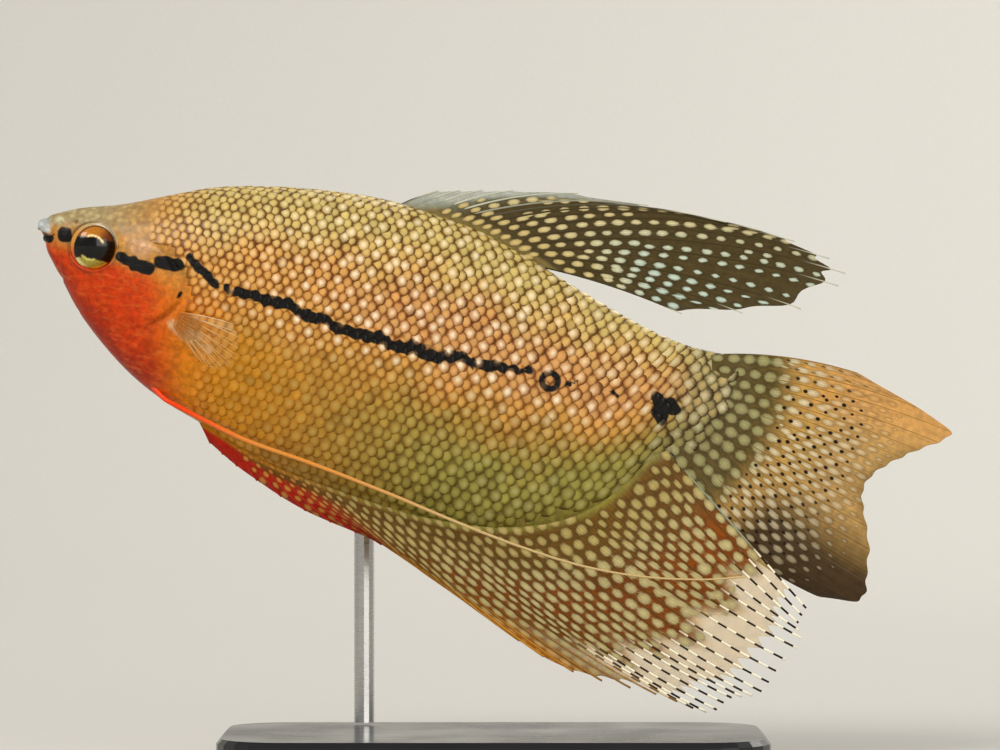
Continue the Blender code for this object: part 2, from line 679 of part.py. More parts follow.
def make_rod(meeting, material):
    """A round rod that rises behind the fish and bends over to meet its flank."""
    steps = 8
    path = [Vector((meeting.x, ROD_Y, BASE_THICKNESS + GAP))]
    for i in range(steps + 1):
        a = math.pi / 2 * i / steps
        y = ROD_Y - ROD_BEND * (1 - math.cos(a))
        path.append(Vector((meeting.x, y, meeting.z - ROD_BEND * (1 - math.sin(a)))))
    path.append(Vector((meeting.x, meeting.y, meeting.z)))
    line = bpy.data.curves.new("stand_rod", "CURVE")
    line.dimensions = "3D"
    line.bevel_depth = ROD_RADIUS * MM
    line.bevel_resolution = 4
    line.use_fill_caps = True
    spline = line.splines.new("POLY")
    spline.points.add(len(path) - 1)
    for point, place in zip(spline.points, path):
        point.co = (*(place * MM), 1)
    line.materials.append(material)
    made = bpy.data.objects.new("stand_rod", line)
    bpy.context.scene.collection.objects.link(made)
    return made


def posed_bounds(objects, turn):
    """The lowest and highest corner of the objects' meshes once they are turned."""
    points = [turn @ made.matrix_world @ v.co for made in objects for v in made.data.vertices]
    lowest = Vector([min(p[k] for p in points) for k in range(3)])
    highest = Vector([max(p[k] for p in points) for k in range(3)])
    return lowest, highest


def pose_fish(nodes):
    """Tips the fish head up, centres it over the stand and lifts it clear of the base."""
    turn = Matrix.Rotation(BODY_PITCH, 4, "Y")
    lowest, highest = posed_bounds(nodes, turn)
    lift = (BASE_THICKNESS + FIN_CLEARANCE) * MM - lowest.z
    place = Matrix.Translation((-(lowest.x + highest.x) / 2, 0, lift)) @ turn
    pose = bpy.data.objects.new("fish_pose", None)
    bpy.context.scene.collection.objects.link(pose)
    pose.matrix_world = place
    for node in nodes:
        local = node.matrix_world.copy()
        node.parent = pose
        node.matrix_parent_inverse = Matrix.Identity(4)
        node.matrix_basis = local
    return place


def main():
    for old in list(bpy.data.objects):
        bpy.data.objects.remove(old)
    flesh = finish_of("pearl_flank", (0.50, 0.33, 0.15), 0.4)
    throat = finish_of("red_head", (0.62, 0.17, 0.05), 0.4)
    fin = finish_of("spotted_fin", (0.33, 0.21, 0.10), 0.45)
    clear_fin = finish_of("clear_fin", (0.72, 0.55, 0.38), 0.35)
    feeler = finish_of("orange_feeler", (0.85, 0.32, 0.08), 0.4)
    eye = finish_of("eye", (0.05, 0.03, 0.02), 0.1)
    plate = finish_of("stand_plate", (0.03, 0.03, 0.035), 0.35)
    steel = finish_of("stand_metal", (0.62, 0.61, 0.6), 0.3, 1.0)

    nodes = make_body(flesh, throat)
    nodes.append(shape_head(nodes[0], throat))
    for side, word in ((-1, "left"), (1, "right")):
        nodes.append(make_gill_cover(f"gill_cover_{word}", side, throat))
        nodes.append(link(f"eye_{word}", eye_mesh(f"eye_{word}", side), eye))
        nodes.append(make_pectoral_fin(f"pectoral_fin_{word}", side, clear_fin))
        nodes.append(make_feeler(f"feeler_{word}", side, feeler))
    nodes += [make_dorsal_fin(fin), make_anal_fin(fin), make_caudal_fin(fin)]
    bpy.context.view_layer.update()
    place = pose_fish(nodes)
    meeting = place @ (Vector((ROD_X, half_width_at(ROD_X, ROD_Z) + GAP, ROD_Z)) * MM)
    make_base(plate)
    make_rod(meeting / MM, steel)
    bpy.context.view_layer.update()


main()
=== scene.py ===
# %% [markdown]
# # A pearl gourami, dressed
# The solids give this fish its true size, outline and pose. This script gives it skin, scales, fins and
# eyes, then lights it. It works in the fish's own frame, in millimetres: x runs from the tip of the snout
# to the tail, z goes up across the body, and y goes through it, with the fish's left side at -y. That
# frame is easy to think in, because the outlines of the body are simple curves there. The last step of
# every piece turns its points into the world's metres.

# %% Load the frame
import math
from bisect import bisect_right

import bmesh
import bpy
import numpy as np
from mathutils import Matrix, Vector


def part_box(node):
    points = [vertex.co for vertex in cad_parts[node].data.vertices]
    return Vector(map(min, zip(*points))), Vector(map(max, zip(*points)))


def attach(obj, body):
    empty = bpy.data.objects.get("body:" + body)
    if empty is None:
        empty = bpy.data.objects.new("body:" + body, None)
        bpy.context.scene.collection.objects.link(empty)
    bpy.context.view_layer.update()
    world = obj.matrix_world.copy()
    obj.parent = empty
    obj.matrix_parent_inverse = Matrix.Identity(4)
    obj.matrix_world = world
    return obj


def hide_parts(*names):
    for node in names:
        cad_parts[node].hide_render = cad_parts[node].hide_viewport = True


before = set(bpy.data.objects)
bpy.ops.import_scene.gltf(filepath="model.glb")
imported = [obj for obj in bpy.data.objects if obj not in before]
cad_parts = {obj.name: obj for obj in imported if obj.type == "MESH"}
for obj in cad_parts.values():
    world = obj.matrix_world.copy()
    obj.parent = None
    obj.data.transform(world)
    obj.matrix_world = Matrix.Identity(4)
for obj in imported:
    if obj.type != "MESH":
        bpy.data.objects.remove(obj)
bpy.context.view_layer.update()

print("solids:", len(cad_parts), "nodes")

# %% [markdown]
# ## From the fish's frame to the world
# The fish swims head up by 15 degrees. Its two eyes are level with each other, so the point between them
# is a known point of the fish, and the middle of the two eye solids says where that point is in the
# world. One matrix then places everything else, with no fitting by eye.

# %% Place the fish
MM = 0.001
BODY_PITCH = math.radians(15)
BETWEEN_EYES = Vector((7.1, 0, -0.6))
SIDES = ((-1, "left"), (1, "right"))  # the sign of y on each side of the fish


def box_middle(node):
    low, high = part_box(node)
    return (Vector(low) + Vector(high)) / 2


TURN = Matrix.Rotation(BODY_PITCH, 4, "Y")
eyes_middle = (box_middle("eye_left") + box_middle("eye_right")) / 2
FISH = Matrix.Translation(eyes_middle - TURN @ (BETWEEN_EYES * MM)) @ TURN @ Matrix.Scale(MM, 4)
print("snout tip in the world, mm:", [round(c / MM, 2) for c in FISH @ Vector((0, 0, 0))])

# %% [markdown]
# ## The camera and the light
# The photograph looks straight at the fish's left side through a long lens, so the camera stands square
# to it and far away. A wide lens close by would swell the flank. The fish is lit as a glossy thing is lit
# in a studio: large soft sources, because a small lamp would leave hard white dots on every wet scale.

# %% Camera
VIEW_WIDTH = 117.3 * MM  # what the photograph's width covers in the plane of the fish
VIEW_MIDDLE = Vector((0.76 * MM, 0, 45.9 * MM))
CAMERA_DISTANCE = 0.6
SENSOR_WIDTH = 36

camera_data = bpy.data.cameras.new("camera")
camera_data.sensor_width = SENSOR_WIDTH
camera_data.lens = SENSOR_WIDTH * CAMERA_DISTANCE / VIEW_WIDTH
camera_data.clip_start = 0.01
camera = bpy.data.objects.new("camera", camera_data)
camera.location = VIEW_MIDDLE - Vector((0, CAMERA_DISTANCE, 0))
camera.rotation_euler = (math.radians(90), 0, 0)
bpy.context.scene.collection.objects.link(camera)
bpy.context.scene.camera = camera
bpy.context.scene.view_settings.view_transform = "Standard"

# %% Lights
WORLD_COLOUR, WORLD_STRENGTH = (0.97, 0.98, 1.0, 1), 0.4


def soft_light(name, place, size, watts, colour):
    """A square area light that faces the fish. Its place and size are in metres."""
    data = bpy.data.lights.new(name, "AREA")
    data.size = size
    data.energy = watts
    data.color = colour
    lamp = bpy.data.objects.new(name, data)
    lamp.location = place
    lamp.rotation_euler = (VIEW_MIDDLE - Vector(place)).to_track_quat("-Z", "Y").to_euler()
    bpy.context.scene.collection.objects.link(lamp)


soft_light("key", (-0.60, -0.95, 0.95), size=0.55, watts=13.0, colour=(1.0, 0.97, 0.92))
soft_light("fill", (0.80, -0.95, 0.12), size=0.80, watts=7.0, colour=(1.0, 0.98, 0.95))
soft_light("rim", (0.45, 0.85, 0.80), size=0.60, watts=8.0, colour=(1.0, 0.98, 0.95))
world = bpy.data.worlds.new("studio")
world.use_nodes = True
world.node_tree.nodes["Background"].inputs["Color"].default_value = WORLD_COLOUR
world.node_tree.nodes["Background"].inputs["Strength"].default_value = WORLD_STRENGTH
bpy.context.scene.world = world

# %% [markdown]
# ## Colours and nodes
# Colours are written as sRGB hex, the way a colour picker shows them, and Blender wants linear values, so
# one function turns one into the other. A material is a graph of nodes. One small function adds a node,
# sets it up and wires it in, so that each finish below reads as a list of what it is made of.

# %% Helpers for materials


def linear(hex_colour):
    """An sRGB hex colour as a linear (r, g, b)."""
    parts = [int(hex_colour[i:i + 2], 16) / 255 for i in (1, 3, 5)]
    return tuple(c / 12.92 if c <= 0.04045 else ((c + 0.055) / 1.055) ** 2.4 for c in parts)


def feed(node, inputs):
    """Fills a node's inputs, by name or number, with numbers, hex colours or other nodes' outputs."""
    for key, value in inputs.items():
        if isinstance(value, bpy.types.NodeSocket):
            node.id_data.links.new(value, node.inputs[key])
        elif isinstance(value, str):
            node.inputs[key].default_value = (*linear(value), 1)
        else:
            node.inputs[key].default_value = value


def add(tree, kind, inputs, give=0, **settings):
    """Adds a node with its settings and links, and gives back one of its outputs."""
    node = tree.nodes.new("ShaderNode" + kind)
    for key, value in settings.items():
        setattr(node, key, value)
    feed(node, inputs)
    return node.outputs[give]


def start_material(name, **look):
    """A material, its tree and its shader, with the values that are the same all over it."""
    material = bpy.data.materials.new(name)
    material.use_nodes = True
    shader = material.node_tree.nodes["Principled BSDF"]
    feed(shader, {key.replace("_", " ").title().replace("Ior", "IOR"): value for key, value in look.items()})
    return material, material.node_tree, shader


RGBA = {"data_type": "RGBA", "give": 2}  # a Mix node of colours: share in 0, colours in 6 and 7
TIMES = {"blend_type": "MULTIPLY", **RGBA}  # the same, but it multiplies them
# a Map Range node takes its value in 0, the range it comes from in 1 and 2, and the range it goes to in 3 and 4
SMOOTH = {"interpolation_type": "SMOOTHSTEP"}  # and with this it eases in and out

# %% [markdown]
# ## The body as a formula
# A fish's body is close to a stack of rounded sections, so it is modelled as one: the outline of the back
# and of the belly, the half width, and how full each section is. The same few named curves made the
# solids. Here they become a function that gives a point of the body for any distance along it and any
# angle round it, for whole arrays at once. Skin, scales and markings all ask this one function, so they
# can't drift apart.

# %% Outlines of the body, in mm
TOP_LINE = [
    (0, 0.9), (1.1, 1.8), (4.3, 3.5), (8.7, 5.1), (14.1, 7.7), (18.4, 9.7), (22.9, 11.1), (29.8, 12.6),
    (38, 13.6), (45.4, 13.4), (50.3, 12.9), (55.6, 11.6), (63.5, 9.2), (71, 7.2), (76.4, 6.3), (82, 6.4),
]
BOTTOM_LINE = [
    (0, -0.9), (1.6, -2.6), (3.9, -5.1), (7.6, -9), (13.7, -13.4), (19.2, -16), (24.4, -17.5), (31.1, -19.5),
    (37.4, -20.6), (49.8, -21.5), (55.9, -21.3), (61.7, -20.4), (67.4, -18.3), (71.5, -15.5), (74.5, -11.8),
    (77, -7.6), (82, -6.3),
]
HALF_WIDTH = [
    (0, 0.7), (1, 1.35), (3, 2.3), (7, 3.7), (12, 4.9), (18, 5.9), (26, 6.5), (36, 6.6), (46, 5.9), (56, 4.7),
    (66, 3.3), (74, 2.2), (82, 1.3), (85, 0.75),
]
WAIST_SHARE = 0.52
BACK_FULLNESS = 0.9
BELLY_SHARPNESS = [(0, 1), (15, 1), (28, 1.15), (60, 1.3), (76, 1.1), (82, 1)]
GILL_EDGE, GILL_BULGE, GILL_MIDDLE, GILL_SPAN = 12.6, 6.0, -3.6, 5.2
TAIL_END, TAIL_END_CURVE, TAIL_END_MIDDLE = 81.5, 0.045, 1.8


def smooth_line(points, x):
    """The value at x of a smooth curve through points, which are (x, value) in order."""
    if x <= points[0][0]:
        return points[0][1]
    if x >= points[-1][0]:
        return points[-1][1]
    i = bisect_right([p[0] for p in points], x) - 1

    def slope(k):
        before, after = points[max(k - 1, 0)], points[min(k + 1, len(points) - 1)]
        return (after[1] - before[1]) / (after[0] - before[0])

    (x0, v0), (x1, v1) = points[i], points[i + 1]
    span = x1 - x0
    t = (x - x0) / span
    return (
        (2 * t**3 - 3 * t**2 + 1) * v0
        + (t**3 - 2 * t**2 + t) * span * slope(i)
        + (3 * t**2 - 2 * t**3) * v1
        + (t**3 - t**2) * span * slope(i + 1)
    )


STATIONS = np.arange(0, 86, 0.1)
TOP, BOTTOM, WIDTH, SHARPNESS = [
    np.array([smooth_line(line, x) for x in STATIONS])
    for line in (TOP_LINE, BOTTOM_LINE, HALF_WIDTH, BELLY_SHARPNESS)
]


def along_body(table, x):
    return np.interp(x, STATIONS, table)


def height_share(x, z):
    """How high points lie on the body, seen from the side: 0 at its lower edge and 1 at its upper edge."""
    low, high = along_body(BOTTOM, x), along_body(TOP, x)
    return (z - low) / (high - low)


def step(low, high, value):
    """0 below low, 1 above high and smooth between, for low under high or over it."""
    t = np.clip((value - low) / (high - low), 0, 1)
    return t * t * (3 - 2 * t)


def ridge(away, width):
    """A smooth ridge, 1 high on a line, at these distances from the line."""
    return np.exp(-((away / width) ** 2))


def gill_edge(z):
    """The x of the gill cover's free edge."""
    return GILL_EDGE + GILL_BULGE * ridge(z - GILL_MIDDLE, GILL_SPAN)


def tail_edge(z):
    """The x at which the tail stalk ends."""
    return TAIL_END - TAIL_END_CURVE * (z - TAIL_END_MIDDLE) ** 2


def body_point(x, angle):
    """Points of the body's outline. The angle runs from +y over the back."""
    low, high = along_body(BOTTOM, x), along_body(TOP, x)
    middle = low + WAIST_SHARE * (high - low)
    over = np.sin(angle) >= 0
    edge = np.where(over, high, low)
    sharpness = np.where(over, BACK_FULLNESS, along_body(SHARPNESS, x))
    y = along_body(WIDTH, x) * np.sign(np.cos(angle)) * np.abs(np.cos(angle)) ** sharpness
    return np.stack([x + 0 * angle, y, middle + np.abs(edge - middle) * np.sin(angle)], -1)


def body_normal(x, angle):
    """The outward direction of the body's surface, from points a little way off on each side."""
    along = body_point(x + 0.1, angle) - body_point(x - 0.1, angle)
    around = body_point(x, angle + 0.02) - body_point(x, angle - 0.02)
    normal = np.cross(around, along)
    return normal / np.maximum(np.linalg.norm(normal, axis=-1, keepdims=True), 1e-9)


print("body length, mm:", TAIL_END, "depth, mm:", round(float((TOP - BOTTOM).max()), 1))

# %% [markdown]
# ## The forms of the head
# The skin of the head isn't a plain egg. The gill cover ends in a thin free edge with a slit behind it,
# the eye sits in a socket with a low rim, there are two nostrils on each side, and creases run back from the
# mouth and down behind jaw and cheek. Each is a small push along the skin's normal, written as a formula of
# where the point is seen from the side. That keeps the skin one mesh with no seam.

# %% Relief of the head
EYE_X, EYE_Z, EYE_RADIUS, EYE_HALF_DEPTH, EYE_PROUD = 7.1, -0.6, 2.75, 1.7, 0.75
NOSTRILS = [(2.5, 1.1), (4.3, 1.7)]
MOUTH_FRONT, MOUTH_CORNER = (-0.4, -0.75), (2.0, -0.5)
GILL_STEP, EYE_RIM, SOCKET_DEPTH = 0.26, 0.2, 1.5
NOSTRIL_RIM, NOSTRIL_DEPTH, MOUTH_DEPTH = 0.1, 0.4, 0.35
UPPER_LIP_ROOM, LOWER_LIP_ROOM = 0.22, 0.5  # the snout is set back this far under the lips
COAT_DEPTH = 0.12  # how far the skin lies inside the solids
HEAD_END = 22  # there is no relief behind this x
CREASES = [  # a line of points, and the depth and half width of the crease along it
    ([(10.6, -0.8), (11.4, -3.4), (11.0, -6.2), (9.4, -8.4), (7.2, -8.2)], 0.12, 0.35),  # behind the cheek
    ([(2.0, -0.8), (3.2, -3.2), (4.2, -5.4)], 0.14, 0.22),  # behind the jaw
]


def distance_to_line(x, z, points):
    """The distance of points seen from the side to a line of straight runs, and how far along it that is."""
    best, along, run = np.full(np.shape(x), 1e9), np.zeros(np.shape(x)), 0.0
    for (x0, z0), (x1, z1) in zip(points, points[1:]):
        length = math.hypot(x1 - x0, z1 - z0)
        t = np.clip(((x - x0) * (x1 - x0) + (z - z0) * (z1 - z0)) / length**2, 0, 1)
        away = np.hypot(x - x0 - t * (x1 - x0), z - z0 - t * (z1 - z0))
        along = np.where(away < best, run + t * length, along)
        best = np.minimum(best, away)
        run += length
    return best, along


def relief(x, z):
    """How far the head's skin stands out of the plain body, in mm."""
    ahead = gill_edge(z) - x
    on_cover = step(1.9, 0.6, z) * step(-8.8, -6.8, z)
    raised = GILL_STEP * step(0.0, 0.12, ahead) * step(4.5, 0.5, ahead)
    slit = GILL_STEP * step(-1.2, -0.05, ahead) * step(0.12, 0.0, ahead)
    lift = on_cover * (raised - slit)
    from_eye = np.hypot(x - EYE_X, z - EYE_Z)
    lift += EYE_RIM * ridge(from_eye - EYE_RADIUS - 0.2, 0.3)
    lift -= SOCKET_DEPTH * step(EYE_RADIUS + 0.06, EYE_RADIUS - 0.35, from_eye)
    for nostril_x, nostril_z in NOSTRILS:
        away = np.hypot(x - nostril_x, z - nostril_z)
        lift += NOSTRIL_RIM * ridge(away - 0.4, 0.14) - NOSTRIL_DEPTH * step(0.32, 0.14, away)
    lift -= MOUTH_DEPTH * ridge(distance_to_line(x, z, [MOUTH_FRONT, MOUTH_CORNER])[0], 0.14)
    lower_lip = LOWER_LIP_ROOM * step(-0.35, -0.9, z) * step(1.9, 0.3, x)
    lift -= lower_lip + UPPER_LIP_ROOM * step(0.2, 0.8, z) * step(1.3, 0.2, x)
    for line, depth, width in CREASES:
        lift -= depth * ridge(distance_to_line(x, z, line)[0], width)
    return lift


def coat_point(x, angle, rise=0.0):
    """Points on the finished skin, or a rise in mm above it."""
    bare = body_point(x, angle)
    out = np.where(bare[..., 0] < HEAD_END, relief(bare[..., 0], bare[..., 2]), 0) - COAT_DEPTH + rise
    return bare + body_normal(x, angle) * out[..., None]


# %% [markdown]
# ## The markings
# Paint is laid as on a model: a warm gold ground, then washes of straw over the back, umber and olive
# below and behind, and the breeding male's orange and red on breast and throat. Each wash is one colour
# and one soft mask. Skin and scales take their colour from the same function, so the markings run
# through both.

# %% Paint
GOLD, STRAW, UMBER, OLIVE, BLUSH = "#cc8c38", "#c4ab60", "#b27c26", "#908738", "#c48544"
STALK_GREY, FACE_BEIGE, FACE_GOLD, CRESCENT = "#8a8052", "#b8a474", "#cc9040", "#e6d6b4"
ORANGE, AMBER, BREAST_RED, THROAT_RED, BLACK = "#d4720c", "#cb8612", "#c63a00", "#a42600", "#0e0a06"
SHOULDER_STREAK = [(18.4, -7.0), (20.2, -7.9), (23.0, -8.3)]


def eye_crescent(x, z):
    """The pale crescent behind and over the eye, at points in mm from the eye's middle."""
    turn = np.degrees(np.arctan2(z, x))
    away = np.hypot(x, z + 0.1)
    return step(2.42, 2.55, away) * step(3.05, 2.9, away) * step(112, 80, turn) * step(12, 32, turn)


def washes(points, ground, *layers):
    """A linear colour for each of an array of points: a ground under soft washes, laid in order. Each wash
    is a colour and a mask from 0 to 1. Ground and washes are hex colours, or one linear colour a point."""
    shape = (*np.shape(points), 3)
    ground, *tints = [
        np.broadcast_to(linear(tint), shape) if isinstance(tint, str) else tint
        for tint in (ground, *(tint for tint, _ in layers))
    ]
    for tint, (_, mask) in zip(tints, layers):
        ground = ground + (tint - ground) * np.clip(mask, 0, 1)[..., None]
    return ground


def waves(x, z, seed, scale):
    """A smooth made-up noise from -1 to 1, the same at each run."""
    total = 0
    for k in range(5):
        turn = seed * 1.7 + k * 2.4
        across = (x * math.cos(turn) + z * math.sin(turn)) / scale
        total = total + np.sin(across * (1 + 0.37 * k) + seed * 3.1 * k)
    return total / 5 * 1.6


def paint(x, z):
    """The linear ground colour at points seen from the side, before scales and black marks."""
    share = height_share(x, z) + 0.05 * waves(x, z, 1, 2.5)
    red = step(-0.4, -3.2, z + 0.1 * (x - 8) + 0.5 * waves(x, z, 3, 1.5))
    from_eye = np.hypot(x - EYE_X, z - EYE_Z + 0.1)
    return washes(
        x, GOLD,
        (BLUSH, step(26, 44, x) * step(0.5, 0.58, share) * step(0.85, 0.7, share)),
        (STRAW, step(0.66, 0.96, share)),
        (UMBER, step(0.58, 0.36, share) * step(16, 30, x)),
        (AMBER, step(0.5, 0.3, share) * step(12, 20, x) * step(38, 26, x)),
        (OLIVE, step(0.5, 0.16, share) * step(32, 56, x)),
        (STALK_GREY, step(73, 80, x + 0.15 * waves(x, z, 4, 1.5))),
        (ORANGE, step(0.6, 0.4, share) * step(27, 17, x)),
        (FACE_GOLD, step(20, 12, x) * step(-3, 0, z)),
        (FACE_BEIGE, step(15, 6, x) * step(0.5, 2.2, z - 0.12 * (x - 6))),
        (BREAST_RED, red * step(20.5, 14.5, x + 0.3 * (z + 8))),
        (THROAT_RED, step(0.26, 0.02, share) * step(22, 14, x) * step(0.5, 3, x)),
        ("#b3bcb0", step(1.9, 0.9, x) * step(-0.6, -0.2, z) * step(1.6, 1.1, z)),  # grey snout
        ("#e8b78e", 0.6 * step(1.5, 0.4, np.hypot((x - 12.6) / 1.4, z - 0.6))),  # pale temple
        ("#dfe0b4", 0.7 * step(0.8, 0.3, np.hypot(x - 2.3, z - 1.25))),  # pale fleck by the nostril
        ("#4a2c12", 0.6 * step(0.14, 0.04, np.abs(from_eye - 3.0))),  # dark line round the eye
        ("#d8ad7c", 0.8 * step(0.75, 0.3, distance_to_line(x, z, SHOULDER_STREAK)[0])),
        (CRESCENT, eye_crescent(x - EYE_X, z - EYE_Z)),
    )


# %% [markdown]
# The black line starts as a chain of blots on the snout, the cheek and the shoulder. Along the flank it is
# a path of points with a half width at each, so that it swells and thins as the real one does. It ends in a
# black ring round one pearl and a few specks, and a spot marks the tail stalk. Noise makes the edges ragged.

# %% Black marks
BLOTS = [  # two ends and the radius of each, in mm
    ((10.46, -0.96), (12.1, -1.1), 0.62), ((12.6, -1.45), (14.1, -1.44), 0.78), ((15.4, -0.45), (17.2, -0.15), 0.82),
    ((18.3, 1.05), (19.5, 0.2), 0.45), ((19.5, 0.2), (21.1, -0.35), 0.55), ((21.5, -0.9), (22.5, -1.5), 0.42),
    ((23.6, -1.2), (23.8, -1.6), 0.42), ((1.4, -1.1), (1.75, -1.2), 0.5), ((18.4, -3.7), (18.5, -3.3), 0.18),
    ((64.9, -1.8), (65.3, -1.6), 0.28), ((67.3, -1.7), (67.5, -1.5), 0.22), ((70.2, -1.5), (70.5, -1.7), 0.2),
]
FLANK_LINE = [  # x, z and half width
    (24.8, -1.5, 0.6), (26.6, -1.5, 0.55), (29, -1.35, 0.75), (31.1, -1.25, 0.68), (32.6, -1.75, 0.62),
    (33.9, -2.2, 0.75), (35.4, -1.85, 0.62), (37.6, -2.65, 0.62), (40.2, -2.45, 0.8), (41.9, -2.25, 0.75),
    (44.1, -2.75, 0.7), (45.9, -2.3, 0.85), (48.4, -2.7, 0.7), (51.3, -2.15, 0.68), (54, -2.35, 0.5),
    (55.4, -2.15, 0.75), (58.4, -1.6, 0.4), (60.1, -1.4, 0.42),
]
RINGED_PEARL, RING_HALF_WIDTH = (62.6, -2.0, 0.95), 0.36
NOSTRIL_PATCH, TAIL_SPOT = (3.45, -0.17, 0.92), (76.3, -1.6, 1.65)  # x, z and radius
RAGGED, RAGGED_MORE, RAGGED_SIZE = 0.16, 0.2, 0.42  # how far noise moves the edges, and more on the flank


def off_flank_line(x, z):
    """How far points are outside the black line of the flank, in mm; less than 0 is inside."""
    away, along = distance_to_line(x, z, [p[:2] for p in FLANK_LINE])
    runs = np.concatenate([[0], np.cumsum([math.dist(a[:2], b[:2]) for a, b in zip(FLANK_LINE, FLANK_LINE[1:])])])
    return away - np.interp(along, runs, [p[2] for p in FLANK_LINE])


def black_mark(x, z):
    """How far inside a black mark points are: 0.5 at its edge, and 0 or 1 from half a millimetre away."""
    outside = off_flank_line(x, z)
    for start, end, radius in BLOTS:
        outside = np.minimum(outside, distance_to_line(x, z, [start, end])[0] - radius)
    outside = outside + (RAGGED + RAGGED_MORE * step(20, 30, x)) * waves(x, z, 5, RAGGED_SIZE)
    ring_x, ring_z, radius = RINGED_PEARL
    outside = np.minimum(outside, np.abs(np.hypot(x - ring_x, z - ring_z) - radius) - RING_HALF_WIDTH)
    spot_x, spot_z, radius = TAIL_SPOT
    turn = np.arctan2(z - spot_z, x - spot_x)
    edge = radius + 0.4 * np.sin(3 * turn + 0.5) + 0.28 * np.sin(5 * turn + 2)
    outside = np.minimum(outside, np.hypot(x - spot_x, z - spot_z) - edge)
    patch_x, patch_z, radius = NOSTRIL_PATCH
    outside = np.minimum(outside, np.hypot(x - patch_x, z - patch_z) + 0.08 * waves(x, z, 7, 0.4) - radius)
    return np.clip(0.5 - outside, 0, 1)


# %% [markdown]
# ## Making a mesh from arrays
# Thousands of small parts are quickest as arrays of points and faces, handed to Blender in one go. The
# helper below turns fish millimetres into world metres, adds named values to each point for the materials
# to read, and makes the piece ride on the model's only body.

# %% Pieces


def keep_values(mesh, values):
    """Stores values at a mesh's points: plain numbers, or linear colours."""
    for key, value in values.items():
        value = np.asarray(value, float)
        if value.ndim == 1:
            mesh.attributes.new(key, "FLOAT", "POINT").data.foreach_set("value", value)
        else:
            rgba = np.concatenate([value, np.ones((len(value), 1))], 1)
            mesh.attributes.new(key, "FLOAT_COLOR", "POINT").data.foreach_set("color", rgba.ravel())


def piece(name, points, faces, material, values, uvs=None, place=FISH):
    """A smooth piece of the fish. Its points are in mm, in a frame that the matrix place turns into the
    world's, which is the fish's own unless another is given."""
    mesh = bpy.data.meshes.new(name)
    world_points = np.asarray(points, float) @ np.array(place.to_3x3()).T + np.array(place.translation)
    mesh.from_pydata(world_points.tolist(), [], [tuple(f) for f in faces])
    keep_values(mesh, values)
    mesh.attributes.new("fish_mm", "FLOAT_VECTOR", "POINT").data.foreach_set("vector", np.ravel(points))
    corners = np.zeros(len(mesh.loops), int)
    mesh.loops.foreach_get("vertex_index", corners)
    for key, uv in (uvs or {}).items():
        mesh.uv_layers.new(name=key).data.foreach_set("uv", np.asarray(uv, float)[corners].ravel())
    mesh.shade_smooth()
    mesh.materials.append(material)
    made = bpy.data.objects.new(name, mesh)
    bpy.context.scene.collection.objects.link(made)
    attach(made, "root")
    print(name, len(mesh.vertices), "points,", len(mesh.polygons), "faces")
    return made


def grid_faces(rows, columns, wrap=False):
    """Quads over a grid of points laid out row by row."""
    r, c = np.meshgrid(np.arange(rows - 1), np.arange(columns if wrap else columns - 1), indexing="ij")
    after = (c + 1) % columns
    here, beyond = r * columns, (r + 1) * columns
    return np.stack([here + c, here + after, beyond + after, beyond + c], -1).reshape(-1, 4).tolist()


def grid_rim(rows, columns):
    """The points round the edge of such a grid, in order."""
    first_row = list(range(columns))
    last_column = [i * columns + columns - 1 for i in range(1, rows)]
    last_row = [rows * columns - 1 - i for i in range(1, columns)]
    first_column = [(rows - 1 - i) * columns for i in range(1, rows - 1)]
    return first_row + last_column + last_row + first_column


def cap(tip, first, count, outward):
    """Triangles from a point to the ring of count points that starts at first."""
    ring = [(first + i, first + (i + 1) % count) for i in range(count)]
    return [(tip, a, b) if outward else (tip, b, a) for a, b in ring]


def sheet_faces(rows, columns):
    """The faces of a closed thin sheet, whose two sides are two such grids, one after the other."""
    number = rows * columns
    front = grid_faces(rows, columns)
    rim = grid_rim(rows, columns)
    edge = [(b, a, a + number, b + number) for a, b in zip(rim, rim[1:] + rim[:1])]
    return front + [tuple(i + number for i in reversed(f)) for f in front] + edge


# %% [markdown]
# ## Skin
# A fish's bare skin is soft, wet and a little see-through. On the head it shows fine wrinkles, about
# 0.6 mm apart. Slime makes it shine, but the gloss breaks up at every wrinkle. The ground colour comes
# from the paint function. Noise stretched along the wrinkles gives their relief, and on cheek and breast
# their crests get a painted highlight, a light orange laid on the colour. On crown and nape small scales
# lie buried, and show as grains 0.9 mm wide with brown lines between them. A finer noise gives the pores,
# which are drawn coarser than life so that they show.

# %% Skin material: wet fish skin
INK_FROM, INK_TO = 0.38, 0.6  # black starts and is full at these values of the black mark

wet_skin, tree, shader = start_material(
    "wet_fish_skin", ior=1.38, specular_ior_level=0.2, subsurface_weight=0.15, subsurface_radius=(1.0, 0.4, 0.2),
    subsurface_scale=0.5 * MM, coat_weight=0.12, coat_roughness=0.16,
)
place = add(tree, "Attribute", {}, "Vector", attribute_name="fish_mm")
ground = add(tree, "Attribute", {}, "Color", attribute_name="ground")
face, inside = [add(tree, "Attribute", {}, "Fac", attribute_name=key) for key in ("face", "black")]
black = add(tree, "MapRange", {0: inside, 1: INK_FROM, 2: INK_TO}, **SMOOTH)
mottle = add(tree, "TexNoise", {"Vector": place, "Scale": 1.5, "Detail": 4.0})
along_wrinkles = add(tree, "Mapping", {"Vector": place, "Rotation": (0, 0.35, 0), "Scale": (0.55, 0.8, 1.7)})
wrinkles = add(tree, "TexNoise", {"Vector": along_wrinkles, "Scale": 1.0, "Detail": 3.0, "Distortion": 0.6})
pores = add(tree, "TexNoise", {"Vector": place, "Scale": 6.0, "Detail": 2.0})
grains = add(tree, "TexVoronoi", {"Vector": place, "Scale": 1.15, "Randomness": 0.75}, "Distance")

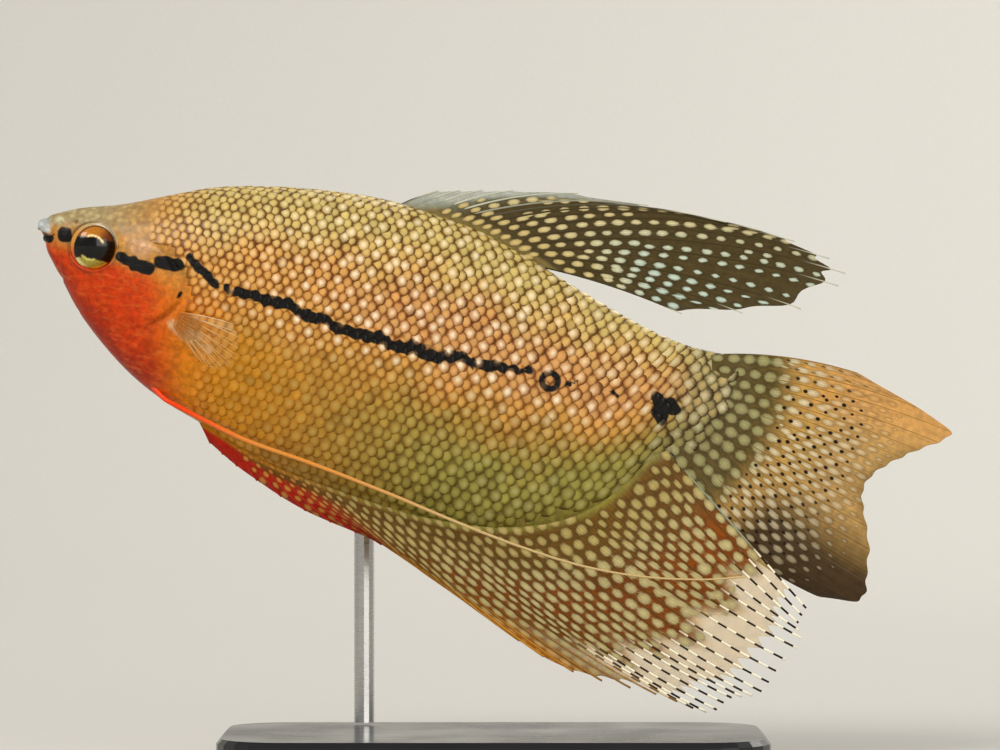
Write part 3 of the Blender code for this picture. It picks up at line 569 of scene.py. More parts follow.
dim = add(tree, "MapRange", {0: mottle, 1: 0.35, 2: 0.65, 3: 0.72, 4: 1.12})
blotched = add(tree, "Mix", {0: 1.0, 6: ground, 7: dim}, **TIMES)
# a painted highlight: light orange laid on the crests of the wrinkles, on cheek and breast only
crest = add(tree, "MapRange", {0: wrinkles, 1: 0.5, 2: 0.72, 3: 0.0, 4: 0.3}, **SMOOTH)
crest_highlight = add(tree, "Math", {0: crest, 1: face}, operation="MULTIPLY")
crested = add(tree, "Mix", {0: crest_highlight, 6: blotched, 7: "#e8782e"}, **RGBA)
between = add(tree, "MapRange", {0: grains, 1: 0.25, 2: 0.6, 3: 0.0, 4: 0.4}, **SMOOTH)
off_face = add(tree, "MapRange", {0: face, 3: 1.0, 4: 0.0})
grain_lines = add(tree, "Math", {0: between, 1: off_face}, operation="MULTIPLY")
crested = add(tree, "Mix", {0: grain_lines, 6: crested, 7: "#7d5f38"}, **RGBA)
feed(shader, {"Base Color": add(tree, "Mix", {0: black, 6: crested, 7: BLACK}, **RGBA)})
feed(shader, {"Roughness": add(tree, "MapRange", {0: pores, 1: 0.3, 2: 0.7, 3: 0.3, 4: 0.5})})
height = add(tree, "Math", {0: wrinkles, 1: 1.6, 2: pores}, operation="MULTIPLY_ADD")
feed(shader, {"Normal": add(tree, "Bump", {"Height": height, "Distance": 0.09 * MM, "Strength": 0.6})})

# %% [markdown]
# The skin is one closed mesh: rings round the body, closer together on the head, where the forms are
# small. Rings that shrink to a point round off the nose.

# %% Skin mesh
SKIN_AROUND, NOSE_RINGS, END_TURNS = 240, 8, 12
HEAD_RING, FINE_END, BODY_RING, STALK_START, STALK_RINGS = 0.17, 20, 0.45, 62, 46
NOSE_ROUNDING, NOSE_CAP, TAIL_CAP = 0.1, 0.03, 0.6  # mm along the body
BODY_UV_LENGTH = 90.0  # how much of the body's length, in mm, the unwrap's width covers
UV_START, UV_WIDTH = 0.01, 0.98


def skin_rings():
    """Rings of points round the body, from the tip of the nose to the end of the tail stalk."""
    angle = np.arange(SKIN_AROUND) * 2 * math.pi / SKIN_AROUND
    rings = []
    first = coat_point(np.zeros(SKIN_AROUND), angle)
    centre = first.mean(0)
    for k in range(1, NOSE_RINGS):
        turn = math.pi / 2 * k / NOSE_RINGS
        ring = centre + (first - centre) * math.sin(turn)
        ring[:, 0] -= NOSE_ROUNDING * (1 - (k / NOSE_RINGS) ** 2)
        rings.append(ring)
    for x in np.concatenate([np.arange(0, FINE_END, HEAD_RING), np.arange(FINE_END, STALK_START, BODY_RING)]):
        rings.append(coat_point(np.full(SKIN_AROUND, x), angle))
    end = np.full(SKIN_AROUND, TAIL_END)
    for _ in range(END_TURNS):
        end = (end + tail_edge(body_point(end, angle)[:, 2])) / 2
    for share in np.linspace(0, 1, STALK_RINGS):
        rings.append(coat_point(STALK_START + (end - STALK_START) * share, angle))
    return np.array(rings), angle


def unwrapped(x, angle):
    """Where a point of the body lies in the unwrap: its length along, and its angle round."""
    across = UV_START + UV_WIDTH * np.clip(x, 0, BODY_UV_LENGTH) / BODY_UV_LENGTH
    return np.stack([across, angle / 2 / math.pi % 1], -1)


rings, angle = skin_rings()
nose = SKIN_AROUND * len(rings)
nose_tip, tail_middle = rings[0].mean(0) - [NOSE_CAP, 0, 0], (TAIL_END - TAIL_CAP, 0, TAIL_END_MIDDLE)
points = np.concatenate([rings.reshape(-1, 3), [nose_tip, tail_middle]])
faces = grid_faces(len(rings), SKIN_AROUND, wrap=True)
faces += cap(nose, 0, SKIN_AROUND, False) + cap(nose + 1, nose - SKIN_AROUND, SKIN_AROUND, True)
x, z = points[:, 0], points[:, 2]
# face: where the wrinkle crests get their painted highlight, and where the buried grains don't show
face = step(30, 24, x) * step(-0.5, -2.5, z)
skin = piece(
    "skin", points, faces, wet_skin, {"ground": paint(x, z), "black": black_mark(x, z), "face": face},
    {"OFBake": unwrapped(x, np.append(np.tile(angle, len(rings)), [0, 0]))},
)
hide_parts("head", "lower_jaw", "gill_cover_left", "gill_cover_right", "torso", "tail_stalk")

# %% [markdown]
# ## Scales
# A scale is a thin curved plate of bone, rooted at its front and free at its rear, under a film of clear
# skin. It lies over the front of the next one like a roof tile. Rows run along the body, and each is
# offset by half a scale from its neighbour. Each scale here is a closed solid plate laid on the body by
# the same formula as the skin, so it bends with it. The edges that show are real edges.
#
# The pearls are spots of light pigment. The material reads where a point is on its own scale, and lays a
# small bright spot with a soft halo in the middle of the part that shows. The rest of the scale is gold
# with an olive rim, and its middle carries a painted glint: a lighter patch in the glint colour that
# stands in for the light a wet scale catches.

# %% Scale material: scales of thin bone under clear skin
# the part of a scale that shows: how far its middle lies behind the root, and half its length and width
SHOWN_MIDDLE, SHOWN_HALF_LENGTH, SHOWN_HALF_WIDTH = 0.58, 0.64, 0.74

clear_scale, tree, shader = start_material(
    "clear_skinned_scale", ior=1.42, specular_ior_level=0.2, coat_weight=0.12, coat_roughness=0.16,
)
own = add(tree, "UVMap", {}, uv_map="own_scale")
place = add(tree, "Attribute", {}, "Vector", attribute_name="fish_mm")
ground, light, glint = [
    add(tree, "Attribute", {}, "Color", attribute_name=key) for key in ("ground", "light", "glint")
]
glint_strength, pearl, rim, inside = [
    add(tree, "Attribute", {}, "Fac", attribute_name=key) for key in ("glint_strength", "pearl", "rim", "black")
]
black = add(tree, "MapRange", {0: inside, 1: INK_FROM, 2: INK_TO}, **SMOOTH)
speckle = add(tree, "TexNoise", {"Vector": place, "Scale": 2.6, "Detail": 4.0, "Roughness": 0.65})
centred = add(tree, "VectorMath", {0: own, 1: (SHOWN_MIDDLE, 0, 0)}, operation="SUBTRACT")
squash = (1 / SHOWN_HALF_LENGTH, 1 / SHOWN_HALF_WIDTH, 0)
squashed = add(tree, "VectorMath", {0: centred, 1: squash}, operation="MULTIPLY")
away = add(tree, "VectorMath", {0: squashed}, "Value", operation="LENGTH")
away = add(tree, "Math", {0: speckle, 1: 1.0, 2: away}, operation="MULTIPLY_ADD")

shade = add(tree, "MapRange", {0: away, 1: 0.95, 2: 1.6}, **SMOOTH)
rimmed = add(tree, "Math", {0: shade, 1: rim}, operation="MULTIPLY")
edge = add(tree, "Mix", {0: 1.0, 6: ground, 7: "#8e7250"}, **TIMES)
cell = add(tree, "Mix", {0: rimmed, 6: ground, 7: edge}, **RGBA)
# a painted glint: the middle of each scale is laid lighter, in the glint colour, as painted light
glow = add(tree, "MapRange", {0: away, 1: 1.35, 2: 0.65}, **SMOOTH)
glint_mask = add(tree, "Math", {0: glow, 1: glint_strength}, operation="MULTIPLY")
cell = add(tree, "Mix", {0: glint_mask, 6: cell, 7: glint}, **RGBA)
halo = add(tree, "MapRange", {0: away, 1: 1.45, 2: 0.75, 4: 0.38})
spot = add(tree, "MapRange", {0: away, 1: 1.02, 2: 0.55, 4: 0.62}, **SMOOTH)
both = add(tree, "Math", {0: halo, 1: spot}, operation="ADD")
pearly = add(tree, "Math", {0: both, 1: pearl}, operation="MULTIPLY")
cell = add(tree, "Mix", {0: pearly, 6: cell, 7: light}, **RGBA)
dim = add(tree, "MapRange", {0: speckle, 1: 0.3, 2: 0.7, 3: 0.84, 4: 1.1})
cell = add(tree, "Mix", {0: 1.0, 6: cell, 7: dim}, **TIMES)
not_pearl = add(tree, "Math", {0: 1.0, 1: pearly}, operation="SUBTRACT")
inked = add(tree, "Math", {0: black, 1: not_pearl}, operation="MULTIPLY")
feed(shader, {"Base Color": add(tree, "Mix", {0: inked, 6: cell, 7: BLACK}, **RGBA)})
feed(shader, {"Roughness": add(tree, "MapRange", {0: speckle, 1: 0.3, 2: 0.7, 3: 0.32, 4: 0.46})})
feed(shader, {"Normal": add(tree, "Bump", {"Height": speckle, "Distance": 0.04 * MM, "Strength": 0.5})})

# %% [markdown]
# To lay scales at even distances on a curved body, each needs the angle that lies a given length of skin
# away from the waist line. A table of arc lengths, measured once at stations along the body, gives that
# for any point.

# %% Arc lengths round the body
STATION_STEP, ARC_STEP, ARC_ANGLES_COUNT = 0.5, 0.1, 361
ARC_STATIONS, ARC_REACH = np.arange(0, 87, STATION_STEP), np.arange(-26, 22, ARC_STEP)


def arc_tables():
    """For stations along the body, the angle at each arc length up from the waist, on the +y side."""
    angles = np.linspace(-math.pi / 2, math.pi / 2, ARC_ANGLES_COUNT)
    table, ends = [], []
    for x in ARC_STATIONS:
        line = body_point(np.full(angles.shape, x), angles)
        arc = np.concatenate([[0], np.cumsum(np.linalg.norm(np.diff(line, axis=0), axis=1))])
        arc -= np.interp(0, angles, arc)
        table.append(np.interp(ARC_REACH, arc, angles))
        ends.append((arc[0], arc[-1]))
    return np.array(table), np.array(ends)


ARC_ANGLES, ARC_ENDS = arc_tables()


def angle_at(x, arc):
    """The angle round the body at an arc length from the waist, between the table's entries."""
    i = np.clip(x / STATION_STEP, 0, len(ARC_STATIONS) - 1.001)
    j = np.clip((arc - ARC_REACH[0]) / ARC_STEP, 0, len(ARC_REACH) - 1.001)
    i0, j0 = i.astype(int), j.astype(int)
    di, dj = i - i0, j - j0
    near = ARC_ANGLES[i0, j0] * (1 - dj) + ARC_ANGLES[i0, j0 + 1] * dj
    far = ARC_ANGLES[i0 + 1, j0] * (1 - dj) + ARC_ANGLES[i0 + 1, j0 + 1] * dj
    return near * (1 - di) + far * di


# %% [markdown]
# On the nape the scales are 1 mm apart, and by the belly and the tail about 1.4 mm. None grow on the snout,
# round the eye, on the cheek and the breast, over the slit behind the gill cover, or at the root of the
# pectoral fin.

# %% Where scales grow
FIRST_SCALE, COLUMN_STEP, COLUMN_GROWTH = 9.72, 0.96, 0.0041
ROW_STEP, ROW_GROWTH = 0.98, 0.012
ROWS_EACH_WAY, COLUMNS = 21, 69  # more than fit: what falls off the body is left out
PECTORAL_X, PECTORAL_Z = 19.2, -6.4
BARE_AHEAD, BARE_BEHIND, BARE_ROUND_EYE = 1.35, 0.9, 1.2  # bare skin at the gill slit and round the eye, in mm
COVER_LOW, COVER_HIGH, CHEEK_TOP = -10.5, 1.4, 2.2  # z
PAST_TAIL_EDGE = 1.0  # the last scales lie over the root of the tail fin
random_source = np.random.default_rng(11)


def scaly(x, z):
    """Whether scales grow at a point seen from the side."""
    ahead = float(gill_edge(z)) - x
    behind_gill = ahead < -BARE_BEHIND
    return (
        (not COVER_LOW < z < COVER_HIGH or ahead > BARE_AHEAD or behind_gill)
        and (z > CHEEK_TOP or behind_gill)
        and math.hypot(x - EYE_X, z - EYE_Z) > EYE_RADIUS + BARE_ROUND_EYE
        and (x > 22 or z > -8 and (x > 19.5 or z > -4.5))  # clear of the breast
        and math.hypot((x - PECTORAL_X + 0.4) / 1.4, (z - PECTORAL_Z) / 1.9) > 1
        and x < float(tail_edge(z)) + PAST_TAIL_EDGE
    )


def scale_places():
    """The x, arc, row and column of each scale on one side."""
    places = []
    for row in range(-ROWS_EACH_WAY, ROWS_EACH_WAY):
        arc = ROW_STEP * row - ROW_GROWTH * row**2 * (row < 0)
        for column in range(COLUMNS):
            number = column + 0.5 * (row % 2)
            x = FIRST_SCALE + COLUMN_STEP * number + COLUMN_GROWTH * number**2
            low, high = [np.interp(x, ARC_STATIONS, ARC_ENDS[:, k]) for k in (0, 1)]
            if low + 0.2 < arc < high - 0.1:
                z = body_point(np.array([x]), angle_at(np.array([x]), np.array([arc])))[0, 2]
                if scaly(x, z):
                    places.append((x, arc, row, column))
    return np.array(places)


places = scale_places()
print("scales on a side:", len(places))

# %% One scale
SCALE_CELLS = 6
GRID = SCALE_CELLS + 1
SCALE_FRONT, SCALE_REAR, SCALE_HALF_WIDTH = 1.1, 1.2, 0.86
SCALE_LIFT, SCALE_CROWN, SCALE_THICKNESS, ROOT_DEPTH = 0.095, 0.05, 0.05, 0.04


def scale_plate():
    """A scale in its own plane: along, across, and how high each point stands, top side and underside."""
    u, v = np.meshgrid(np.linspace(-1, 1, GRID), np.linspace(-1, 1, GRID), indexing="ij")
    round_rear = np.sqrt(np.clip(1 - (0.88 * v) ** 2, 0, 1))
    along = np.where(u > 0, u * SCALE_REAR * round_rear, u * SCALE_FRONT * (1 - 0.55 * v**2))
    across = v * SCALE_HALF_WIDTH * (1 - 0.1 * u**2)
    slope = (along + SCALE_FRONT) / (SCALE_FRONT + SCALE_REAR)
    crown = SCALE_CROWN * (1 - v**2) * step(-0.2, 0.4, u) * (1 - 0.5 * np.clip(u, 0, 1) ** 4)
    top = -ROOT_DEPTH + SCALE_LIFT * slope + crown
    return along.ravel(), across.ravel(), np.stack([top, top - SCALE_THICKNESS]).ravel()


along, across, plate_rise = scale_plate()
plate_faces = np.array(sheet_faces(GRID, GRID))
print("triangles in a scale:", 2 * len(plate_faces))

# %% [markdown]
# One scale in three carries a pearl, and in a pattern of offset rows that third forms a neat lattice of
# its own. A pearl scale is larger than the two between, and a few break the rule, as in life. Pearls are
# cream on the back, dull green-gold low on the flank, and absent from the nape and the breast.

# %% Lay the scales
PEARL_EVERY, PEARL_ODDS = 3, 0.03
PEARL_SIZE, PLAIN_SIZE, PEARL_LIFT = 1.14, 0.98, 1.15
SCALE_PITCH = 1.2  # the distance between roots, in mm, that a plate of size 1 is drawn for
SIZE_SPREAD, TILT_SPREAD, RISE_SPREAD, MARK_SPREAD, SHADE_SPREAD = 0.04, 0.07, 0.005, 0.09, 0.09
PATCH = 0.0015  # half the size of a scale's patch in the unwrap
CREAM, FLANK_LIGHT, STALK_LIGHT = "#fbe8c8", "#b9a24c", "#cfcbaa"
# colours of the painted glint on each scale's middle: painted light, gold, paler on the back, greener on the belly
GOLD_GLINT, BACK_GLINT, BELLY_GLINT = "#eec078", "#e6cc84", "#b3a458"
COAT_PARTS = (("front", 0, 30), ("middle", 30, 48), ("rear", 48, 99))  # from x to x, so no piece is too big


def scale_looks(x, z, row, column):
    """What each scale carries, by where it is."""
    number = len(x)
    share = height_share(x, z)
    pearly = (column - np.floor(row / 2) - row) % PEARL_EVERY == 0
    pearly ^= random_source.random(number) < PEARL_ODDS
    stalk = step(70, 76, x)
    upper = step(0.38, 0.56, share)
    by_shoulder = 0.5 * step(16, 22, x) * step(0.42, 0.5, share) * step(0.62, 0.54, share)
    pearl = step(21, 33, x) * (0.4 + 0.6 * upper) + by_shoulder
    pearl = np.maximum(pearl * (1 - 0.35 * step(0.85, 1, share)), stalk)
    off_marks = step(0.75, 0.3, black_mark(x + 0.5, z))
    pearl *= (1 - 0.3 * step(56, 68, x)) * off_marks * (0.62 + 0.33 * random_source.random(number))
    front = step(34, 26, x) * step(0.5, 0.62, share)
    belly = step(52, 30, x) * step(0.5, 0.36, share)
    # how strong each scale's painted glint is
    glint_strength = (0.36 + 0.16 * front - 0.2 * belly) * step(9, 18, x) * random_source.uniform(0.5, 1.3, number)
    shade = 1 + SHADE_SPREAD * step(10, 24, x) * random_source.standard_normal(number)
    return {
        "pearl": pearly * pearl,
        "light": washes(
            x, CREAM, (FLANK_LIGHT, (1 - upper) * 0.9),
            (STALK_LIGHT, np.maximum(stalk, 0.7 * (1 - upper) * step(45, 62, x))),
        ),
        "glint": washes(
            x, GOLD_GLINT, (BACK_GLINT, step(0.6, 0.9, share)),
            (BELLY_GLINT, step(0.5, 0.3, share) * step(20, 36, x)),
        ),
        "glint_strength": glint_strength,
        "rim": step(8, 18, x) * (0.7 + 0.3 * np.maximum(step(0.5, 0.75, share), stalk) - 0.45 * belly),
        "ground": paint(x, z) * shade[:, None],
    }, pearly


def lay_scales(name, places, side):
    """A joined mesh of all the scales at these places, on the side -1 or 1."""
    x0, arc0, row, column = places.T
    number, each = len(places), 2 * GRID * GRID
    angle0 = angle_at(x0, arc0)
    root = body_point(x0, angle0)
    looks, pearly = scale_looks(root[:, 0], root[:, 2], row, column)

    spacing = (COLUMN_STEP + 2 * COLUMN_GROWTH * column) / SCALE_PITCH
    size = spacing * np.where(pearly, PEARL_SIZE, PLAIN_SIZE) * (0.86 + 0.14 * step(9, 18, x0))
    size = (size * (1 + SIZE_SPREAD * random_source.standard_normal(number)))[:, None]
    tilt = (TILT_SPREAD * random_source.standard_normal(number))[:, None]
    a, b = np.tile(along, 2)[None] * size, np.tile(across, 2)[None] * size
    x = x0[:, None] + a * np.cos(tilt) - b * np.sin(tilt)
    arc = arc0[:, None] + a * np.sin(tilt) + b * np.cos(tilt)
    lift = (0.25 + 0.75 * step(10, 26, x0)) * np.where(pearly, PEARL_LIFT, 1.0)
    lift = (lift * (1 - 0.5 * step(-2, -11, root[:, 2])))[:, None]
    sunk = 0.09 * step(14, 10, x)  # the first scales are half buried in the skin
    rise = plate_rise[None] * lift - sunk + RISE_SPREAD * random_source.standard_normal(number)[:, None]
    points = coat_point(x, angle_at(x, arc), rise).reshape(-1, 3)
    points[:, 1] *= side
    faces = plate_faces[None, :, ::side] + (np.arange(number) * each)[:, None, None]

    values = {key: np.repeat(value, each, 0) for key, value in looks.items()}
    values["black"] = black_mark(points[:, 0], points[:, 2])
    own = np.stack([np.tile(along, 2), np.tile(across, 2)], -1)
    seen = own[None] + MARK_SPREAD * random_source.standard_normal((number, 1, 2))
    bake = unwrapped(x0, angle0 if side > 0 else math.pi - angle0)[:, None] + own[None] / SCALE_REAR * PATCH
    uvs = {"own_scale": seen.reshape(-1, 2), "OFBake": bake.reshape(-1, 2)}
    return piece(name, points, faces.reshape(-1, 4).tolist(), clear_scale, values, uvs)


for side, word in SIDES:
    for part, start, end in COAT_PARTS:
        chosen = places[(places[:, 0] >= start) & (places[:, 0] < end)]
        lay_scales(f"scales_{word}_{part}", chosen, side)

# %% [markdown]
# ## Eyes
# A gourami's eye is a flattened ball with a round pupil, a thin bright ring, and an iris that repeats the
# body's markings: the black line runs through it, copper above and yellow below. The pigment lies under a
# clear cornea, very smooth and wet, which gives the highlight that makes an eye look alive.

# %% Eye material: iris under a wet cornea
eye_cornea, tree, shader = start_material(
    "iris_under_cornea", ior=1.34, specular_ior_level=0.2, coat_weight=0.7, coat_roughness=0.04, coat_ior=1.38,
)
place = add(tree, "Attribute", {}, "Vector", attribute_name="fish_mm")
ground = add(tree, "Attribute", {}, "Color", attribute_name="ground")
fibres = add(tree, "TexNoise", {"Vector": place, "Scale": 6.0, "Detail": 3.0})
fibre = add(tree, "MapRange", {0: fibres, 1: 0.35, 2: 0.65, 3: 0.8, 4: 1.2})
feed(shader, {"Base Color": add(tree, "Mix", {0: 1.0, 6: ground, 7: fibre}, **TIMES)})
feed(shader, {"Roughness": add(tree, "MapRange", {0: fibres, 1: 0.3, 2: 0.7, 3: 0.18, 4: 0.3})})

# %% Eye colours
IRIS_MIDDLE, IRIS_HALF, PUPIL_MIDDLE, PUPIL_RADIUS = (-0.02, -0.12), (2.44, 2.62), (-0.44, -0.22), 1.28


def eye_paint(x, z):
    """The colour of the eye at points seen square on, in mm from the ball's middle."""
    from_iris = np.hypot((x - IRIS_MIDDLE[0]) / IRIS_HALF[0], (z - IRIS_MIDDLE[1]) / IRIS_HALF[1])
    from_pupil = np.hypot(x - PUPIL_MIDDLE[0], z - PUPIL_MIDDLE[1])
    turn = np.degrees(np.arctan2(z - PUPIL_MIDDLE[1], x - PUPIL_MIDDLE[0]))
    along_band = z - 0.1 * x + 0.14 + 0.08 * waves(x, z, 2, 0.35)
    iris = step(1.01, 0.97, from_iris)
    below = iris * step(-1.3, -1.5, along_band)
    rim = below * step(0.82, 0.9, from_iris)
    lit = step(0.17, 0.07, np.abs(from_pupil - PUPIL_RADIUS - 0.14))
    return washes(
        x, paint(EYE_X + x, EYE_Z + z),
        (CRESCENT, eye_crescent(x, z)),
        ("#b8701c", iris),  # copper
        ("#6b300c", iris * step(-0.6, 1.3, x + 0.5 * (1.6 - z))),  # dark copper behind
        ("#a2953a", below),  # yellow below the band
        ("#ded08c", rim * step(0.2, -0.8, x)),  # its bright edge, pale in front
        ("#f6d843", rim * step(-0.2, 0.9, x)),  # and golden behind
        ("#100a06", iris * step(-1.55, -1.35, along_band) * step(1.25, 1.0, along_band)),  # the black band
        ("#2a1508", iris * step(0.9, 0.97, from_iris) * step(0.9, 1.3, along_band)),  # dark upper edge
        ("#ffdf9c", lit * step(54, 36, np.abs(turn - 82))),  # the ring round the pupil, lit above
        ("#e6d874", 0.8 * lit * step(40, 28, np.abs(turn + 92))),  # and below
        ("#060403", step(PUPIL_RADIUS + 0.05, PUPIL_RADIUS - 0.05, from_pupil)),  # pupil
    )


# %% Eye meshes
EYE_TURN = math.radians(14)
EYE_RINGS, EYE_SPOKES = 56, 96


def flank_at(x, z):
    """The half thickness of the body at a point seen from the side."""
    low, high = along_body(BOTTOM, x), along_body(TOP, x)
    middle = low + WAIST_SHARE * (high - low)
    rise = (z - middle) / (high - middle if z > middle else middle - low)
    fullness = BACK_FULLNESS if z > middle else float(along_body(SHARPNESS, x))
    return float(along_body(WIDTH, x)) * math.sqrt(1 - rise**2) ** fullness


def make_eye(name, side):
    """A ball flattened through the head and turned a little forward."""
    ring = np.linspace(0, math.pi, EYE_RINGS + 1)[1:-1]
    spoke = np.arange(EYE_SPOKES) * 2 * math.pi / EYE_SPOKES
    r, s = np.meshgrid(ring, spoke, indexing="ij")
    ball = np.stack([np.sin(r) * np.cos(s), np.cos(r), np.sin(r) * np.sin(s)], -1).reshape(-1, 3)
    ball = np.concatenate([ball, [[0, 1, 0], [0, -1, 0]]]) * [EYE_RADIUS, EYE_HALF_DEPTH, EYE_RADIUS]
    x, y, z = ball[:, 0], ball[:, 1] * side, ball[:, 2]
    cos, sin = math.cos(side * -EYE_TURN), math.sin(side * -EYE_TURN)
    points = np.stack([x * cos - y * sin, x * sin + y * cos, z], -1)
    points += [EYE_X, side * (flank_at(EYE_X, EYE_Z) + EYE_PROUD - EYE_HALF_DEPTH), EYE_Z]
    tip = len(points) - 2
    faces = grid_faces(EYE_RINGS - 1, EYE_SPOKES, wrap=True)
    faces += cap(tip, 0, EYE_SPOKES, False) + cap(tip + 1, tip - EYE_SPOKES, EYE_SPOKES, True)
    return piece(name, points, [f[::-side] for f in faces], eye_cornea, {"ground": eye_paint(x, z)})


for side, word in SIDES:
    ball = make_eye(f"eyeball_{word}", side)
    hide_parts(f"eye_{word}")

# %% [markdown]
# ## Lips
# The mouth is small and turned up, with thin pale lips. Each lip is a roll that runs round the front of the
# jaw and thins out to nothing at the corner, sunk half way into the skin.

# %% A tube along a path


def tube(path, radii, sides):
    """Points and faces of a closed, tapering tube along a path."""
    path = np.asarray(path, float)
    tangent = np.gradient(path, axis=0)
    tangent /= np.linalg.norm(tangent, axis=1, keepdims=True)
    across = np.cross(tangent, [0, 0, 1.0])
    across /= np.linalg.norm(across, axis=1, keepdims=True)
    up = np.cross(across, tangent)
    turn = (np.arange(sides) * 2 * math.pi / sides)[None, :, None]
    outward = across[:, None] * np.cos(turn) + up[:, None] * np.sin(turn)
    rings = path[:, None] + np.asarray(radii, float)[:, None, None] * outward
    points = np.concatenate([rings.reshape(-1, 3), path[:1], path[-1:]])
    tip = len(points) - 2
    faces = grid_faces(len(path), sides, wrap=True)
    return points, faces + cap(tip, 0, sides, False) + cap(tip + 1, tip - sides, sides, True)


# %% Lips
LIP_CORNER = (2.0, 1.5, -0.55)
UPPER_LIP, LOWER_LIP = (0.66, 0.34, 0.8), (1.38, -1.05, 0.54)  # x and z at the front, and radius
LIP_STEPS, LIP_SIDES = 41, 20


def make_lip(name, lip, colour):
    """A roll of lip from corner to corner of the mouth, round its front."""
    turn = np.linspace(-math.pi / 2, math.pi / 2, LIP_STEPS)
    front_x, front_z, radius = lip
    corner_x, corner_y, corner_z = LIP_CORNER
    x = corner_x + (front_x - corner_x) * np.cos(turn)
    z = corner_z + (front_z - corner_z) * np.cos(turn)
    path = np.stack([x, corner_y * np.sin(turn), z], -1)
    points, faces = tube(path, radius * (0.3 + 0.7 * np.cos(turn)), LIP_SIDES)
    x, z = points[:, 0], points[:, 2]
    ground = washes(x, colour, (paint(x, z), step(0.9, 2.0, x - 0.4 * (lip is LOWER_LIP))))
    return piece(name, points, faces, wet_skin, {"ground": ground, "black": black_mark(x, z), "face": 0 * x})


make_lip("upper_lip", UPPER_LIP, "#c3cdcd")
make_lip("lower_lip", LOWER_LIP, "#8d7a5c")

# %% [markdown]
# ## Fins
# A fin is a skin stretched over rays. The rays are separate here: thin tapering rods. The membrane between
# them is a thin closed sheet, thick and fleshy where it grows out of the body. Both know two numbers at
# each point: which ray it is at, and how far out along it. The outlines are named points at the tips of the
# rays, the same that made the solids.

# %% Where the rays run
RAY_GAP = 0.3  # how far from the body's edge the rays are rooted
RAY_SAMPLES, ROW_SAMPLES = 20, 170
DORSAL_RAYS, DORSAL_START, DORSAL_END = 16, 41.0, 59.4
DORSAL_TIPS = [  # share of the fin from its first ray, x and z
    (0, 44.2, 16.2), (0.13, 49.1, 17.6), (0.2, 52.7, 18.5), (0.27, 60.5, 20.2), (0.34, 69, 20.9),
    (0.47, 78, 21.3), (0.6, 86.1, 21.2), (0.7, 92.1, 19.7), (0.8, 92.4, 17.5), (0.87, 88.6, 13.6),
    (0.93, 82.7, 11.6), (1, 75.5, 9.6),
]
DORSAL_BOW = [(0, 0.04), (0.3, 0.1), (0.6, 0.14), (1, 0.05)]
ANAL_RAYS, ANAL_START, ANAL_END = 38, 24.9, 79.0
ANAL_TIPS = [
    (0, 26.1, -19.4), (0.06, 30.3, -21.4), (0.13, 38.4, -24.1), (0.22, 49.2, -25.9), (0.32, 60.6, -29.9),
    (0.42, 72.6, -34.0), (0.52, 84.8, -34.2), (0.6, 90.6, -34.6), (0.67, 92.5, -32.4), (0.75, 95.7, -30.9),
    (0.82, 97.1, -27.4), (0.88, 98.8, -23.9), (0.94, 98.0, -22.0), (1, 98.4, -19.9),
]
ANAL_BOW = [(0, 0), (0.3, -0.05), (0.6, -0.09), (0.9, -0.06), (1, 0)]
CAUDAL_RAYS, CAUDAL_TOP, CAUDAL_BOTTOM = 16, 6.1, -6.5
CAUDAL_TIPS = [
    (0, 97.5, 8.2), (0.035, 101.4, 7.3), (0.07, 105.6, 6), (0.14, 109.9, 4.2), (0.24, 107.3, 1.9),
    (0.35, 104.5, -0.4), (0.45, 102.3, -2.7), (0.53, 101.6, -4.8), (0.62, 102.4, -7.3), (0.72, 104.1, -10.9),
    (0.82, 104.9, -14.9), (0.92, 105, -17.6), (1, 100.2, -18.4),
]
CAUDAL_BOW = [(0, 0.09), (0.3, 0.03), (0.6, -0.02), (0.85, -0.09), (1, -0.19)]


def edge_point(line, x, outward):
    """The root of a ray: a point just off a line of the body's outline, seen from the side."""
    slope = (smooth_line(line, x + 0.2) - smooth_line(line, x - 0.2)) / 0.4
    return Vector((x, smooth_line(line, x))) + Vector((-slope, 1)).normalized() * outward * RAY_GAP


def fan(count, base_at, tips, bows):
    """The base, bend and tip of each ray, seen from the side."""
    rays = []
    for k in range(count):
        share = k / (count - 1)
        base = base_at(share)
        tip = Vector([smooth_line([(point[0], point[axis]) for point in tips], share) for axis in (1, 2)])
        along = tip - base
        middle = (base + tip) / 2 + Vector((-along.y, along.x)) * smooth_line(bows, share)
        rays.append((base, middle, tip))
    return np.array(rays)


def on_ray(rays, k, t):
    """The (x, z) at a share t of ray k, where k may lie between two rays, on a smooth curve from ray to ray."""
    k0 = np.clip(np.floor(k).astype(int), 0, len(rays) - 2)
    part = (k - k0)[..., None, None]
    before, near, far, after = [rays[np.clip(k0 + i, 0, len(rays) - 1)] for i in (-1, 0, 1, 2)]
    bent = 2 * before - 5 * near + 4 * far - after + part * (3 * (near - far) + after - before)
    three = near + 0.5 * part * (far - before + part * bent)
    t = t[..., None]
    return three[..., 0, :] * (1 - t) ** 2 + three[..., 1, :] * 2 * t * (1 - t) + three[..., 2, :] * t**2


def ray_length(rays, k):
    line = on_ray(rays, np.full(RAY_SAMPLES, float(k)), np.linspace(0, 1, RAY_SAMPLES))
    return float(np.linalg.norm(np.diff(line, axis=0), axis=1).sum())


# %% [markdown]
# Fin spots lie in rows between the rays. Each is worked out as a place, a direction and two half sizes in
# mm. Rows start and stop with the room that the rays leave: one row becomes two where they stand far apart.
# Every point of the membrane then stores how near it is to its nearest spot, 1 being right at its edge, and
# the material turns that into a crisp oval.

# %% Spots between the rays
STRAY = 0.08  # how far rows and spots are moved along, as a share of the spacing
NO_SPOT = 3.0  # the distance that a point far from all spots stores


